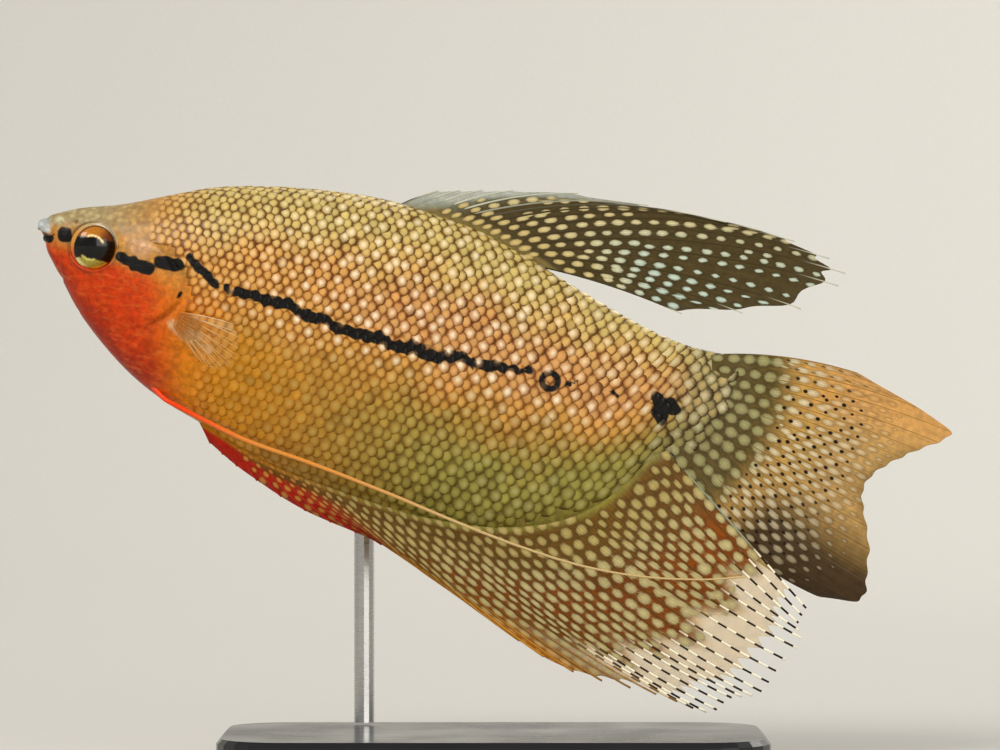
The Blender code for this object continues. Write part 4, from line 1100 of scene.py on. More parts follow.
def spot_rows(rays, rows, width, spacing, start, sizes, least=0.0, most=99.0, stagger=0.0):
    """Oval spots as x, z, two of direction, half length and half width. Rows run along the rays at these
    numbers, each as wide as so many gaps between rays, and only where its room in mm is within the limits.
    stagger moves every other row along, as a share of the spacing."""
    spots = []
    t = np.linspace(-0.08, 1, ROW_SAMPLES)
    for number, k in enumerate(rows):
        line = on_ray(rays, t * 0 + k, t)
        across = on_ray(rays, t * 0 + k + width / 2, t) - on_ray(rays, t * 0 + k - width / 2, t)
        out = np.concatenate([[0], np.cumsum(np.linalg.norm(np.diff(line, axis=0), axis=1))])
        out -= np.interp(0, t, out)
        shift = stagger * (number % 2) + STRAY * math.sin(12.9 * k)
        for place in np.arange(start + spacing * shift, out[-1] - 0.3, spacing):
            place += STRAY * spacing * math.sin(7.7 * k + 3.1 * place)
            i = min(int(np.searchsorted(out, place)), len(t) - 2)
            way = line[i + 1] - line[i]
            way = way / np.linalg.norm(way)
            room = abs(way[0] * across[i][1] - way[1] * across[i][0])
            half_length, half_width = sizes(k / (len(rays) - 1), place, room)
            if least <= room < most and half_length > 0.2:
                vary = 1 + 0.12 * math.sin(31 * k + 17 * place)
                spots.append((*line[i], *way, half_length * vary, half_width * vary))
    return spots


def one_row_or_two(rays, spacing, start, sizes, wide, least=0.0, stagger=0.0):
    """A row of spots in each gap between rays, and two rows from where the gap is so many mm wide."""
    count = len(rays) - 1
    one = spot_rows(rays, np.arange(count) + 0.5, 1, spacing, start, sizes, least, wide, stagger)
    return one + spot_rows(rays, np.arange(0.25, count, 0.5), 0.5, spacing, start, sizes, wide / 2, stagger=0.5)


def nearness(x, z, spots):
    """For each point its distance to the nearest spot's middle, where 1 is the spot's edge."""
    nearest = np.full(np.shape(x), NO_SPOT)
    for spot_x, spot_z, way_x, way_z, half_length, half_width in spots:
        a, b = x - spot_x, z - spot_z
        near = np.maximum(np.abs(a), np.abs(b)) < NO_SPOT * half_length
        along, across = a[near] * way_x + b[near] * way_z, b[near] * way_x - a[near] * way_z
        nearest[near] = np.minimum(nearest[near], np.hypot(along / half_length, across / half_width))
    return nearest


# %% Membranes and rays
FILM_HALF, FILM_PUFF = 0.07, 0.1  # half the skin's thickness at the root, and how far it bulges between rays
ROD_SIDES = 6


def notched(most, depth):
    """How far skin reaches along each ray, with notches between the rays."""
    return lambda k: most - depth * np.sin(math.pi * k) ** 2


def make_membrane(name, rays, bend, reach, colours, cells, rows, root, flesh, place=FISH):
    """The skin of a fin. bend gives y, reach the share of each ray that is covered, and colours the values.
    cells and rows are the mesh's, across a gap and along a ray. root is how much of it is sunk in the body,
    and flesh the half thickness and the length of the fleshy base, all in mm."""
    count = len(rays)
    k = np.linspace(0, count - 1, (count - 1) * cells + 1)
    lengths = np.interp(k, np.arange(count), [ray_length(rays, v) for v in range(count)])
    first = -root / lengths
    t = first[:, None] + (reach(k) - first)[:, None] * np.linspace(0, 1, rows + 1)[None]
    k_grid = np.broadcast_to(k[:, None], t.shape)
    flat = on_ray(rays, k_grid, t)
    out = t * lengths[:, None]
    puff = FILM_PUFF * np.sin(math.pi * k_grid) ** 2 * np.clip(t, 0, 1) * np.cos(k_grid.round() * 2.2)
    y = bend(flat[..., 0], flat[..., 1], t) + puff
    half = FILM_HALF * (1 - 0.5 * t) + flesh[0] * ridge(np.maximum(out, 0), flesh[1])
    sides = [np.stack([flat[..., 0], y + way * half, flat[..., 1]], -1).reshape(-1, 3) for way in (-1, 1)]
    x, z, share, out, ray = [v.ravel() for v in (flat[..., 0], flat[..., 1], t, out, k_grid)]
    plain = {"spot": 0 * x + NO_SPOT, "dot": 0 * x + NO_SPOT, "ray": ray}
    values = {**plain, **colours(x, z, share, out, ray)}
    values = {key: np.concatenate([value, value]) for key, value in values.items()}
    return piece(name, np.concatenate(sides), sheet_faces(*t.shape), fin_skin, values, place=place)


def make_rays(name, rays, bend, reach, colours, radii, root, steps, forks=0, place=FISH):
    """The rays of a fin as one joined mesh of thin rods, each of so many steps. radii are at root and tip,
    and forks says how far apart the two branches of a ray end, in gaps between rays."""
    points, faces, known = [], [], []
    total = 0
    for k in range(len(rays)):
        length = ray_length(rays, k)
        for branch in (-0.5, 0.5) if forks and 0 < k < len(rays) - 1 else (0,):
            t = np.linspace(-root / length, reach(k), steps)
            line = np.clip(k + branch * forks * step(0.4, 0.95, t), 0, len(rays) - 1)
            flat = on_ray(rays, line, t)
            path = np.stack([flat[:, 0], bend(flat[:, 0], flat[:, 1], t), flat[:, 1]], -1)
            new_points, new_faces = tube(path, np.interp(t, [0, 1], radii), ROD_SIDES)
            ring = np.concatenate([np.repeat(t, ROD_SIDES), [t[0], t[-1]]])
            points.append(new_points)
            faces += [tuple(i + total for i in f) for f in new_faces]
            total += len(new_points)
            known.append(np.stack([ring, ring * length, np.full(len(ring), k)]))
    points, (share, out, ray) = np.concatenate(points), np.concatenate(known, 1)
    values = {"out": out, "dash": 0 * out, "dashed": 0 * out, **colours(points[:, 0], points[:, 2], share, out, ray)}
    return piece(name, points, faces, bony_ray, values, place=place)


# %% [markdown]
# ### The finish of a fin
# The membrane is two layers of skin, thin enough to let light through, with a silky gloss. It reads its
# ground colour, its spots and how clear it is from the mesh. Fine ribs run along it, five in each gap
# between rays, where the skin is gathered. A ray is a jointed rod of soft bone, 0.2 to 0.3 mm thick at its
# root, with joints 0.7 mm apart. Pale and black dashes lie on it where the fin asks for them.

# %% Membrane and ray materials: fin skin and bony rays
RIBS_IN_GAP, JOINT_STEP = 5, 0.7

fin_skin, tree, shader = start_material(
    "thin_fin_skin", ior=1.38, specular_ior_level=0.18, coat_weight=0.05, coat_roughness=0.2,
)
place = add(tree, "Attribute", {}, "Vector", attribute_name="fish_mm")
ground, light = [add(tree, "Attribute", {}, "Color", attribute_name=key) for key in ("ground", "light")]
near, dot_near, clear, ray = [
    add(tree, "Attribute", {}, "Fac", attribute_name=key) for key in ("spot", "dot", "clear", "ray")
]
cloud = add(tree, "TexNoise", {"Vector": place, "Scale": 1.2, "Detail": 4.0})
wobble = add(tree, "TexNoise", {"Vector": place, "Scale": 2.2, "Detail": 4.0, "Roughness": 0.6})
dim = add(tree, "MapRange", {0: cloud, 1: 0.3, 2: 0.7, 3: 0.78, 4: 1.16})
film = add(tree, "Mix", {0: 1.0, 6: ground, 7: dim}, **TIMES)
wobbly = add(tree, "Math", {0: wobble, 1: 0.6, 2: near}, operation="MULTIPLY_ADD")
spotted = add(tree, "MapRange", {0: wobbly, 1: 1.5, 2: 1.05}, **SMOOTH)
rim = add(tree, "MapRange", {0: wobbly, 1: 2.0, 2: 1.5, 4: 0.26}, **SMOOTH)
film = add(tree, "Mix", {0: rim, 6: film, 7: "#2b1d08"}, **RGBA)
lit = add(tree, "MapRange", {0: wobbly, 1: 0.3, 2: 1.3, 3: 1.2, 4: 0.72})
bright = add(tree, "Mix", {0: 1.0, 6: light, 7: lit}, **TIMES)
film = add(tree, "Mix", {0: spotted, 6: film, 7: bright}, **RGBA)
dotted = add(tree, "MapRange", {0: dot_near, 1: 1.3, 2: 0.8}, **SMOOTH)
feed(shader, {"Base Color": add(tree, "Mix", {0: dotted, 6: film, 7: "#1d1108"}, **RGBA)})
covered = add(tree, "Math", {0: spotted, 1: 0.85, 2: dotted}, operation="MULTIPLY_ADD")
opaque = add(tree, "Math", {0: 1.0, 1: clear}, operation="SUBTRACT")
feed(shader, {"Alpha": add(tree, "Math", {0: opaque, 1: covered}, operation="MAXIMUM", use_clamp=True)})
feed(shader, {"Roughness": add(tree, "MapRange", {0: wobble, 1: 0.3, 2: 0.7, 3: 0.3, 4: 0.42})})
turns = add(tree, "Math", {0: ray, 1: RIBS_IN_GAP * 2 * math.pi}, operation="MULTIPLY")
ribs = add(tree, "Math", {0: turns}, operation="SINE")
feed(shader, {"Normal": add(tree, "Bump", {"Height": ribs, "Distance": 0.03 * MM, "Strength": 0.5})})

bony_ray, tree, shader = start_material(
    "jointed_fin_ray", ior=1.45, specular_ior_level=0.2, coat_weight=0.08, coat_roughness=0.2,
)
ground = add(tree, "Attribute", {}, "Color", attribute_name="ground")
out, dash, dashed = [add(tree, "Attribute", {}, "Fac", attribute_name=key) for key in ("out", "dash", "dashed")]
wave = add(tree, "Math", {0: dash}, operation="FRACT")
centred = add(tree, "Math", {0: wave, 1: 0.5}, operation="SUBTRACT")
far = add(tree, "Math", {0: centred}, operation="ABSOLUTE")
pale = add(tree, "MapRange", {0: far, 1: 0.27, 2: 0.23}, **SMOOTH)
dark = add(tree, "MapRange", {0: far, 1: 0.25, 2: 0.29}, **SMOOTH)
pale_on = add(tree, "Math", {0: pale, 1: dashed}, operation="MULTIPLY")
dark_on = add(tree, "Math", {0: dark, 1: dashed}, operation="MULTIPLY")
horn = add(tree, "Mix", {0: pale_on, 6: ground, 7: "#fff8dc"}, **RGBA)
feed(shader, {"Base Color": add(tree, "Mix", {0: dark_on, 6: horn, 7: "#1c0f06"}, **RGBA)})
joint_turns = add(tree, "Math", {0: out, 1: 2 * math.pi / JOINT_STEP}, operation="MULTIPLY")
joints = add(tree, "Math", {0: joint_turns}, operation="SINE")
feed(shader, {"Roughness": add(tree, "MapRange", {0: joints, 1: -1.0, 2: 1.0, 3: 0.28, 4: 0.4})})
feed(shader, {"Normal": add(tree, "Bump", {"Height": joints, "Distance": 0.03 * MM, "Strength": 0.5})})

# %% [markdown]
# ### Dorsal fin
# Its front is spiny, greyish and plain, with pale spines whose tips stand out like saw teeth. Behind, the
# skin is olive brown with rows of small pale ovals 2.2 mm apart, which run right down to the back.

# %% Dorsal fin: shape and spots
DORSAL_SPOT_STEP, DORSAL_WIDE = 2.2, 1.36  # mm; a gap this wide has room for two rows


def dorsal_base(share):
    return edge_point(TOP_LINE, DORSAL_START + (DORSAL_END - DORSAL_START) * share, 1)


def dorsal_bend(x, z, t):
    return 1.1 * t * t * np.sin((x - DORSAL_START) / 9)


def dorsal_reach(k):
    spiny = step(7.5, 5.5, k)
    return 0.955 - 0.025 * spiny - (0.03 + 0.04 * spiny) * np.sin(math.pi * k) ** 2


dorsal_rays = fan(DORSAL_RAYS, dorsal_base, DORSAL_TIPS, DORSAL_BOW)
dorsal_lengths = [ray_length(dorsal_rays, k) for k in range(DORSAL_RAYS)]


def dorsal_margin(place, out):
    """1 in the pale strip along the upper edge, which has no spots. Its width is measured along the rays."""
    to_tip = np.interp(place * (DORSAL_RAYS - 1), np.arange(DORSAL_RAYS), dorsal_lengths) - out
    width = 9.0 - 7.2 * step(0.3, 0.62, place)
    return step(width, 0.5 * width, to_tip) * step(0.85, 0.65, place)


def dorsal_spot(place, out, room):
    """The half length and half width of a spot, by the share of the fin, the mm along its ray and its room."""
    small = step(0.55, 0.8, place) * step(14, 24, out)
    keep = step(0.12, 0.24, place) * (1 - dorsal_margin(place, out))
    return (0.68 - 0.12 * small) * keep, min(0.32 - 0.04 * small, 0.38 * room) * max(keep, 0.01)


wide_rows = np.arange(DORSAL_RAYS - 1)[1::2]  # near the back, where the rays are close, one row for two gaps
dorsal_spots = spot_rows(dorsal_rays, wide_rows, 2, DORSAL_SPOT_STEP, -0.5, dorsal_spot, most=DORSAL_WIDE)
dorsal_spots += one_row_or_two(dorsal_rays, DORSAL_SPOT_STEP, 0.5, dorsal_spot, DORSAL_WIDE, DORSAL_WIDE / 2)
print("dorsal spots:", len(dorsal_spots))

# %% Dorsal fin: colours
DORSAL_DARK, DORSAL_GREY, DORSAL_EDGE, DORSAL_ROOT = "#4c3f20", "#84866a", "#a9ad9c", "#7c6a38"
DORSAL_LIGHT, DORSAL_LOW_LIGHT, DORSAL_REAR_LIGHT = "#cfbe88", "#c9b070", "#bccbb8"


def dorsal_colours(x, z, share, out, ray):
    place = ray / (DORSAL_RAYS - 1)
    front = step(0.34, 0.16, place)
    edge = dorsal_margin(place, out)
    return {
        "ground": washes(
            x, DORSAL_DARK, (DORSAL_GREY, 0.85 * front), (DORSAL_ROOT, step(1.2, 0.2, out)), (DORSAL_EDGE, 0.8 * edge)
        ),
        "light": washes(
            x, DORSAL_LIGHT, (DORSAL_LOW_LIGHT, step(7, 1, out)),
            (DORSAL_REAR_LIGHT, step(0.55, 0.9, place) * step(5, 14, out)),
        ),
        "spot": nearness(x, z, dorsal_spots),
        "clear": 0.08 * step(0.5, 1.0, share) + 0.25 * front * step(0.1, 0.4, share) + 0.3 * edge,
    }


def dorsal_ray_colours(x, z, share, out, ray):
    spiny = step(6.5, 3.5, ray)
    pale = np.maximum(spiny * step(0.5, 2.0, out), step(0.85, 0.97, share))
    return {"ground": washes(x, "#42361a", ("#c4c4ac", pale))}


dorsal = make_membrane(
    "dorsal_fin_membrane", dorsal_rays, dorsal_bend, dorsal_reach, dorsal_colours,
    cells=8, rows=140, root=0.9, flesh=(0.5, 1.5),
)
dorsal_rods = make_rays(
    "dorsal_fin_rays", dorsal_rays, dorsal_bend, lambda k: 1.0, dorsal_ray_colours,
    radii=(0.15, 0.07), root=0.9, steps=40,
)
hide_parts("dorsal_fin")

# %% [markdown]
# ### Anal fin
# It is the longest fin, a curtain from the breast to the tail, and it carries on the flank's pattern.
# Scarlet in front, amber along its lower edge, then a brown net with pale straw-green cells. Behind, the
# skin turns clear, and the rays run on as free threads with white and black dashes 2.45 mm apart.

# %% Anal fin: shape and spots
ANAL_FRINGE = 0.48  # behind this share of the fin its rays run out past the skin
ANAL_FRONT_ROWS, ANAL_FRONT_STEP, ANAL_SPOT_STEP, ANAL_DASH_STEP = 12, 1.5, 1.95, 2.45
ANAL_WIDE = 1.7  # a gap between rays this wide, in mm, has room for two rows
ANAL_WHOLE_RAYS = 16  # so many front rays end inside the skin


def anal_base(share):
    return edge_point(BOTTOM_LINE, ANAL_START + (ANAL_END - ANAL_START) * share, -1)


def anal_bend(x, z, t):
    return -2.0 * t * t * np.cos((x - 98) / 16) - 0.25 * step(66, 76, x)


def anal_reach(k):
    fringe = step(ANAL_FRINGE - 0.1, ANAL_FRINGE + 0.12, k / (ANAL_RAYS - 1))
    return 0.995 - 0.1 * fringe - (0.004 + 0.04 * fringe) * np.sin(math.pi * k) ** 2


def anal_clearness(place, share):
    """1 where the skin at the rear has no colour left, by the share of the fin and of the ray."""
    return step(0.42, 0.56, place) * step(0.56, 0.72, share + 0.05 * np.sin(place * 70))


def anal_amber(place, share):
    """1 along the lower edge of the front half."""
    return step(0.5, 0.4, place) * step(0.5, 0.85, share) * step(0.23, 0.3, place)


anal_rays = fan(ANAL_RAYS, anal_base, ANAL_TIPS, ANAL_BOW)
anal_lengths = [ray_length(anal_rays, k) for k in range(ANAL_RAYS)]


def anal_spot(place, out, room):
    share = out / np.interp(place * (ANAL_RAYS - 1), np.arange(ANAL_RAYS), anal_lengths)
    keep = (1 - anal_clearness(place, share)) * (1 - 0.75 * anal_amber(place, share)) * step(0.04, 0.12, place)
    full = (0.48 + 0.32 * step(0.2, 0.42, place)) * (0.8 + 0.2 * step(1, 4, out))
    return full * step(0.1, 0.5, keep), 0.38 * room


anal_rows = np.arange(ANAL_RAYS - 1) + 0.5
front_rows, rear_rows = anal_rows[:ANAL_FRONT_ROWS], anal_rows[ANAL_FRONT_ROWS:]
half_rows = np.arange(0.25, ANAL_RAYS - 1, 0.5)
anal_spots = spot_rows(anal_rays, front_rows, 1, ANAL_FRONT_STEP, -0.7, anal_spot, most=ANAL_WIDE)
anal_spots += spot_rows(anal_rays, rear_rows, 1, ANAL_SPOT_STEP, -0.7, anal_spot, most=ANAL_WIDE)
anal_spots += spot_rows(anal_rays, half_rows, 0.5, ANAL_SPOT_STEP, 0.5, anal_spot, ANAL_WIDE / 2, stagger=0.5)
print("anal spots:", len(anal_spots), "longest ray, mm:", round(max(anal_lengths), 1))

# %% Anal fin: colours
NET_ROOT, NET_BROWN, SCARLET, ANAL_AMBER, CLEAR_SKIN = "#6a4410", "#8c4406", "#b01a00", "#b8741a", "#d9b568"
ANAL_LIGHT, ANAL_REAR_LIGHT, ANAL_WARM_LIGHT = "#b29e5e", "#bcac76", "#cf7c26"
ANAL_RAY, RAY_SCARLET, RAY_AMBER, RAY_CLEAR, LAST_RAY = "#654212", "#b01c02", "#cc8a2c", "#b98b48", "#8f9a80"


def anal_colours(x, z, share, out, ray):
    place = ray / (ANAL_RAYS - 1)
    scarlet = step(0.36, 0.2, place) * step(0.05, 0.4, share + 0.3 * step(0.15, 0.05, place))
    amber, clear = anal_amber(place, share), anal_clearness(place, share)
    return {
        "ground": washes(
            x, paint(x, along_body(BOTTOM, x) + 1.5), (NET_ROOT, 0.9 * step(-0.9, 0.5, out)),
            (NET_BROWN, 0.9 * step(5, 12, out)), (SCARLET, scarlet), (ANAL_AMBER, amber), (CLEAR_SKIN, clear),
        ),
        "light": washes(
            x, ANAL_LIGHT, (ANAL_REAR_LIGHT, step(3, 8, out) * step(0.3, 0.6, place)),
            (ANAL_WARM_LIGHT, 0.85 * step(0.36, 0.16, place) + 0.8 * amber),
        ),
        "spot": nearness(x, z, anal_spots),
        "clear": 0.72 * clear,
    }


def anal_ray_colours(x, z, share, out, ray):
    place = ray / (ANAL_RAYS - 1)
    return {
        "ground": washes(
            x, ANAL_RAY, (RAY_SCARLET, step(0.34, 0.16, place)), (RAY_AMBER, anal_amber(place, share + 0.1)),
            (RAY_CLEAR, anal_clearness(place, share)), (LAST_RAY, step(0.98, 1.0, place) * step(0.7, 0.5, share)),
        ),
        "dash": out / ANAL_DASH_STEP + 0.5 * (ray % 2) + 0.13 * np.sin(ray * 9),
        "dashed": step(0.5, 0.58, place) * step(0.56, 0.68, share),
    }


anal = make_membrane(
    "anal_fin_membrane", anal_rays, anal_bend, anal_reach, anal_colours,
    cells=6, rows=110, root=1.5, flesh=(0.3, 1.4),
)
anal_rods = make_rays(
    "anal_fin_rays", anal_rays, anal_bend, lambda k: 0.98 if k < ANAL_WHOLE_RAYS else 1.0, anal_ray_colours,
    radii=(0.1, 0.14), root=1.2, steps=46,
)
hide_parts("anal_fin")

# %% [markdown]
# ### Tail fin
# The net of pearls runs out over its fleshy base, in cells 1.75 mm apart. Then the skin clears to golden
# tan, with pale dashes and small black dots in turn between the rays, 2.1 mm apart. The lower lobe is dusky,
# and folds away from the eye.

# %% Tail fin: shape and spots
CAUDAL_CELL_STEP, CAUDAL_CELL_WIDTH = 1.75, 1.4  # mm, and gaps between rays
CAUDAL_DASH_STEP, CAUDAL_WIDE = 2.1, 1.4  # mm; a gap this wide has room for two rows


def caudal_base(share):
    z = CAUDAL_TOP + (CAUDAL_BOTTOM - CAUDAL_TOP) * share
    return Vector((float(tail_edge(z)) + RAY_GAP, z))


def caudal_bend(x, z, t):
    return 5.0 * t**2 * (np.maximum(0.0, -z) / 20) ** 1.5 - 0.8 * t * t + 0.25 * step(-2, -6, z)


def caudal_cell(place, out, room):
    size = step(9.5, 7.0, out)
    return 0.74 * size, min(0.62, 0.4 * room) * size


def caudal_dash(place, out, room):
    size = step(6.5, 8.5, out) * step(26, 17, out)
    return 0.72 * size, min(0.36, 0.37 * room) * size


def caudal_dot(place, out, room):
    size = 0.2 * step(5.5, 8.5, out) * step(25, 15, out)
    return size * 1.25, size


caudal_rays = fan(CAUDAL_RAYS, caudal_base, CAUDAL_TIPS, CAUDAL_BOW)
cell_rows = np.arange(0.5, CAUDAL_RAYS - 1, CAUDAL_CELL_WIDTH)
caudal_dashes = spot_rows(caudal_rays, cell_rows, CAUDAL_CELL_WIDTH, CAUDAL_CELL_STEP, -0.2, caudal_cell, stagger=0.5)
caudal_dashes += one_row_or_two(caudal_rays, CAUDAL_DASH_STEP, 0.6, caudal_dash, CAUDAL_WIDE, stagger=0.5)
caudal_dots = one_row_or_two(caudal_rays, CAUDAL_DASH_STEP, 1.65, caudal_dot, CAUDAL_WIDE, stagger=0.5)
print("tail cells, dashes and dots:", len(caudal_dashes), len(caudal_dots))

# %% Tail fin: colours
TAIL_TAN, TAIL_GOLD, TAIL_OLIVE, TAIL_DUSK = "#c59a50", "#dca250", "#5f4f26", "#463216"
TAIL_LIGHT, TAIL_CELL_LIGHT, TAIL_DUSK_LIGHT = "#d8c49a", "#9b9462", "#8f8468"
TAIL_RAY, TAIL_RAY_ROOT, TAIL_RAY_DUSK = "#8f6a30", "#5a4c28", "#4a371c"


def caudal_colours(x, z, share, out, ray):
    place = ray / (CAUDAL_RAYS - 1)
    lower = step(0.62, 0.86, place) * step(8, 14, out)
    dusk = np.maximum(lower, 0.4 * step(0.9, 1.0, share) * step(0.2, 0.3, place))
    ground = washes(
        x, TAIL_TAN, (TAIL_GOLD, step(0.4, 0.1, place) * step(7, 14, out)), (TAIL_OLIVE, step(10.5, 6.0, out)),
        (TAIL_DUSK, dusk),
    )
    faded = np.maximum(0.75 * step(12, 24, out), 0.9 * step(10, 18, out) * step(0.45, 0.2, place))
    return {
        "ground": ground,
        "light": washes(
            x, TAIL_LIGHT, (TAIL_CELL_LIGHT, step(10.0, 6.0, out)), (ground, faded), (TAIL_DUSK_LIGHT, 0.6 * dusk)
        ),
        "spot": nearness(x, z, caudal_dashes), "dot": nearness(x, z, caudal_dots),
        "clear": 0.22 * step(6, 18, out) * (1 - 0.6 * dusk),
    }


def caudal_ray_colours(x, z, share, out, ray):
    lower = step(0.62, 0.86, ray / (CAUDAL_RAYS - 1)) * step(8, 14, out)
    return {"ground": washes(x, TAIL_RAY, (TAIL_RAY_ROOT, step(9, 4, out)), (TAIL_RAY_DUSK, lower))}


caudal = make_membrane(
    "caudal_fin_membrane", caudal_rays, caudal_bend, notched(0.995, 0.012), caudal_colours,
    cells=8, rows=110, root=0.9, flesh=(1.0, 3.0),
)
caudal_rods = make_rays(
    "caudal_fin_rays", caudal_rays, caudal_bend, lambda k: 0.985, caudal_ray_colours,
    radii=(0.11, 0.05), root=0.9, steps=40,
)
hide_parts("caudal_fin")

# %% [markdown]
# ### Pectoral fins
# These are the fish's paddles: rounded, nearly clear, held out from the shoulder. They are made as the other
# fins are, flat in a frame of their own, and then swung out. Their rays are the only ones that fork here.

# %% Pectoral fins
PECTORAL_RAYS, PECTORAL_LENGTH, PECTORAL_ROOT = 9, 12.0, 2.0
PECTORAL_TOP, PECTORAL_LOW = math.radians(14), math.radians(-24)
PECTORAL_SWING, PECTORAL_DROOP, PECTORAL_CUP = math.radians(52), math.radians(12), 0.8


def pectoral_fan():
    rays = []
    for k in range(PECTORAL_RAYS):
        share = k / (PECTORAL_RAYS - 1)
        angle = PECTORAL_TOP + (PECTORAL_LOW - PECTORAL_TOP) * share
        base = Vector((0, PECTORAL_ROOT * (0.5 - share)))
        along = Vector((math.cos(angle), math.sin(angle))) * PECTORAL_LENGTH * (1 - 0.45 * (2 * share - 0.7) ** 2)
        rays.append((base, base + along / 2 + Vector((-along.y, along.x)) * 0.03, base + along))
    return np.array(rays)


def pectoral_colours(x, z, share, out, ray):
    ground = washes(x, "#d8a762", ("#ead2a2", step(1.6, 0.6, ray)), ("#d98a3c", step(4.0, 0.5, out)))
    return {"ground": ground, "light": ground, "clear": 0.6 + 0.32 * step(0.5, 4.0, out)}


pectoral_rays = pectoral_fan()
for side, word in SIDES:
    root = Vector((PECTORAL_X, side * flank_at(PECTORAL_X, PECTORAL_Z), PECTORAL_Z))
    turn = Matrix.Rotation(side * PECTORAL_SWING, 4, "Z") @ Matrix.Rotation(PECTORAL_DROOP, 4, "Y")
    swung = FISH @ Matrix.Translation(root) @ turn

    def cupped(x, z, t, towards=-side):
        return PECTORAL_CUP * towards * t * t

    film = make_membrane(
        f"pectoral_membrane_{word}", pectoral_rays, cupped, notched(0.99, 0.03), pectoral_colours,
        cells=6, rows=40, root=0.6, flesh=(0.25, 1.5), place=swung,
    )
    rods = make_rays(
        f"pectoral_rays_{word}", pectoral_rays, cupped, lambda k: 0.99, pectoral_colours,
        radii=(0.09, 0.02), root=0.6, steps=26, forks=0.4, place=swung,
    )
    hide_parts(f"pectoral_fin_{word}")

# %% [markdown]
# ### Feelers
# The pelvic fins of a gourami are single long threads that it feels its way with. They grow from the breast
# between the pectoral fins, scarlet at the root, and pale to nothing at the tip.

# %% Feelers: jointed threads of bony ray
FEELER_PATH = [
    (17.6, 1.2, -14.4), (19.6, 2.3, -15.65), (21.7, 2.65, -16.15), (24.5, 2.85, -16.8), (30.1, 3.2, -17.85),
    (38.3, 3.6, -18.5), (48.1, 3.4, -19.6), (56.9, 3.3, -20.8), (64.4, 3.0, -21.6), (71.8, 2.6, -21.9),
    (78.9, 2.5, -21.3), (85.8, 2.7, -19.8), (90.5, 3.0, -18.2),
]
FEELER_RADII, FEELER_STEPS, FEELER_SIDES = (0.3, 0.1), 160, 10
FEELER_LENGTH = 72  # mm, for the joints' places

for side, word in SIDES:
    ys, zs = [(x, y) for x, y, _ in FEELER_PATH], [(x, z) for x, _, z in FEELER_PATH]
    x = np.linspace(FEELER_PATH[0][0], FEELER_PATH[-1][0], FEELER_STEPS)
    share = np.linspace(0, 1, FEELER_STEPS)
    path = np.array([(v, side * smooth_line(ys, v), smooth_line(zs, v)) for v in x])
    points, faces = tube(path, np.interp(share, [0, 1], FEELER_RADII), FEELER_SIDES)
    share = np.concatenate([np.repeat(share, FEELER_SIDES), [0, 1]])
    ground = washes(share, "#ee4208", ("#e0903a", step(0.05, 0.22, share)), ("#cdb078", step(0.25, 0.6, share)))
    thread = piece(
        f"feeler_thread_{word}", points, faces, bony_ray,
        {"ground": ground, "out": share * FEELER_LENGTH, "dash": 0 * share, "dashed": 0 * share},
    )
    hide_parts(f"feeler_{word}")

# %% [markdown]
# ## The stand
# The base and the rod are right as they are in the solids, so they only get their finishes: black acrylic,
# cast and flame polished, with a faint haze of handling; and stainless steel rod, ground round, so that
# fine rings run round it. The rings are 0.02 mm apart in life and 0.12 mm here, so that they show.

# %% Stand materials
acrylic, tree, shader = start_material("black_cast_acrylic", ior=1.49)
place = add(tree, "TexCoord", {}, "Object")
haze = add(tree, "TexNoise", {"Vector": place, "Scale": 90.0, "Detail": 3.0})
feed(shader, {"Base Color": add(tree, "Mix", {0: haze, 6: "#09090b", 7: "#18181b"}, **RGBA)})
feed(shader, {"Roughness": add(tree, "MapRange", {0: haze, 1: 0.3, 2: 0.7, 3: 0.16, 4: 0.3})})

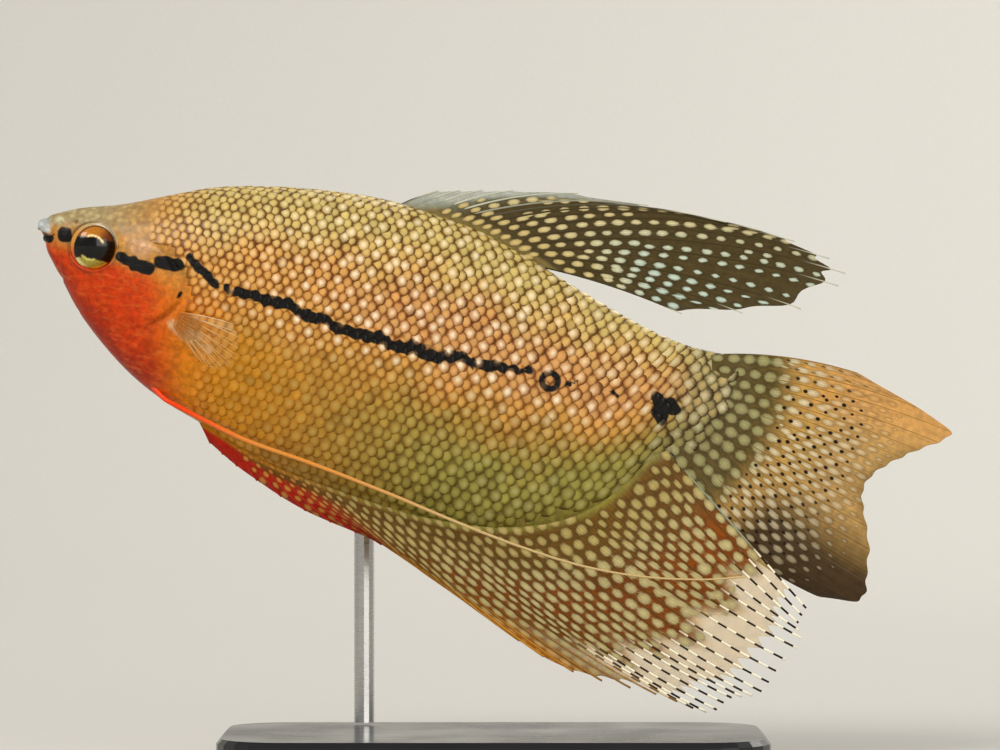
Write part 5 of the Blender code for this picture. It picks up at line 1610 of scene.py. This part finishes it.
steel, tree, shader = start_material("ground_stainless_steel", metallic=1.0)
place = add(tree, "TexCoord", {}, "Object")
rings = add(tree, "Mapping", {"Vector": place, "Scale": (40, 40, 8000)})
grind = add(tree, "TexNoise", {"Vector": rings, "Scale": 1.0, "Detail": 2.0})
feed(shader, {"Base Color": add(tree, "Mix", {0: grind, 6: "#b4b3b0", 7: "#cbcac6"}, **RGBA)})
feed(shader, {"Roughness": add(tree, "MapRange", {0: grind, 1: 0.3, 2: 0.7, 3: 0.24, 4: 0.32})})

for node, finish in (("stand_base", acrylic), ("stand_rod", steel)):
    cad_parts[node].data.materials.clear()
    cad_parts[node].data.materials.append(finish)

# %% [markdown]
# ## Floor
# A pale sheet that curves up behind the model, as a photographer's paper roll does, leaves no horizon.

# %% Floor: matt paper roll
FLOOR_HALF, FLOOR_FRONT, BEND_START, BEND_RADIUS, WALL_TOP = 1.8, -1.6, 0.5, 0.5, 2.0  # metres
BEND_STEPS = 16

paper, tree, shader = start_material("matt_paper_roll")
grain = add(tree, "TexNoise", {"Vector": add(tree, "TexCoord", {}, "Object"), "Scale": 900.0, "Detail": 2.0})
feed(shader, {"Base Color": add(tree, "Mix", {0: grain, 6: "#c9c6be", 7: "#cfccc4"}, **RGBA)})
feed(shader, {"Roughness": add(tree, "MapRange", {0: grain, 1: 0.3, 2: 0.7, 3: 0.85, 4: 0.95})})
profile = [(FLOOR_FRONT, 0.0), (BEND_START, 0.0)]
for turn in np.linspace(0.1, math.pi / 2, BEND_STEPS):
    profile.append((BEND_START + BEND_RADIUS * math.sin(turn), BEND_RADIUS * (1 - math.cos(turn))))
profile.append((BEND_START + BEND_RADIUS, WALL_TOP))
sweep = bmesh.new()
edges = [[sweep.verts.new((side * FLOOR_HALF, y, z)) for y, z in profile] for side in (-1, 1)]
for i in range(len(profile) - 1):
    sweep.faces.new((edges[0][i], edges[1][i], edges[1][i + 1], edges[0][i + 1]))
floor_mesh = bpy.data.meshes.new("floor")
sweep.to_mesh(floor_mesh)
sweep.free()
floor_mesh.shade_smooth()
floor_mesh.materials.append(paper)
floor = bpy.data.objects.new("floor", floor_mesh)
bpy.context.scene.collection.objects.link(floor)
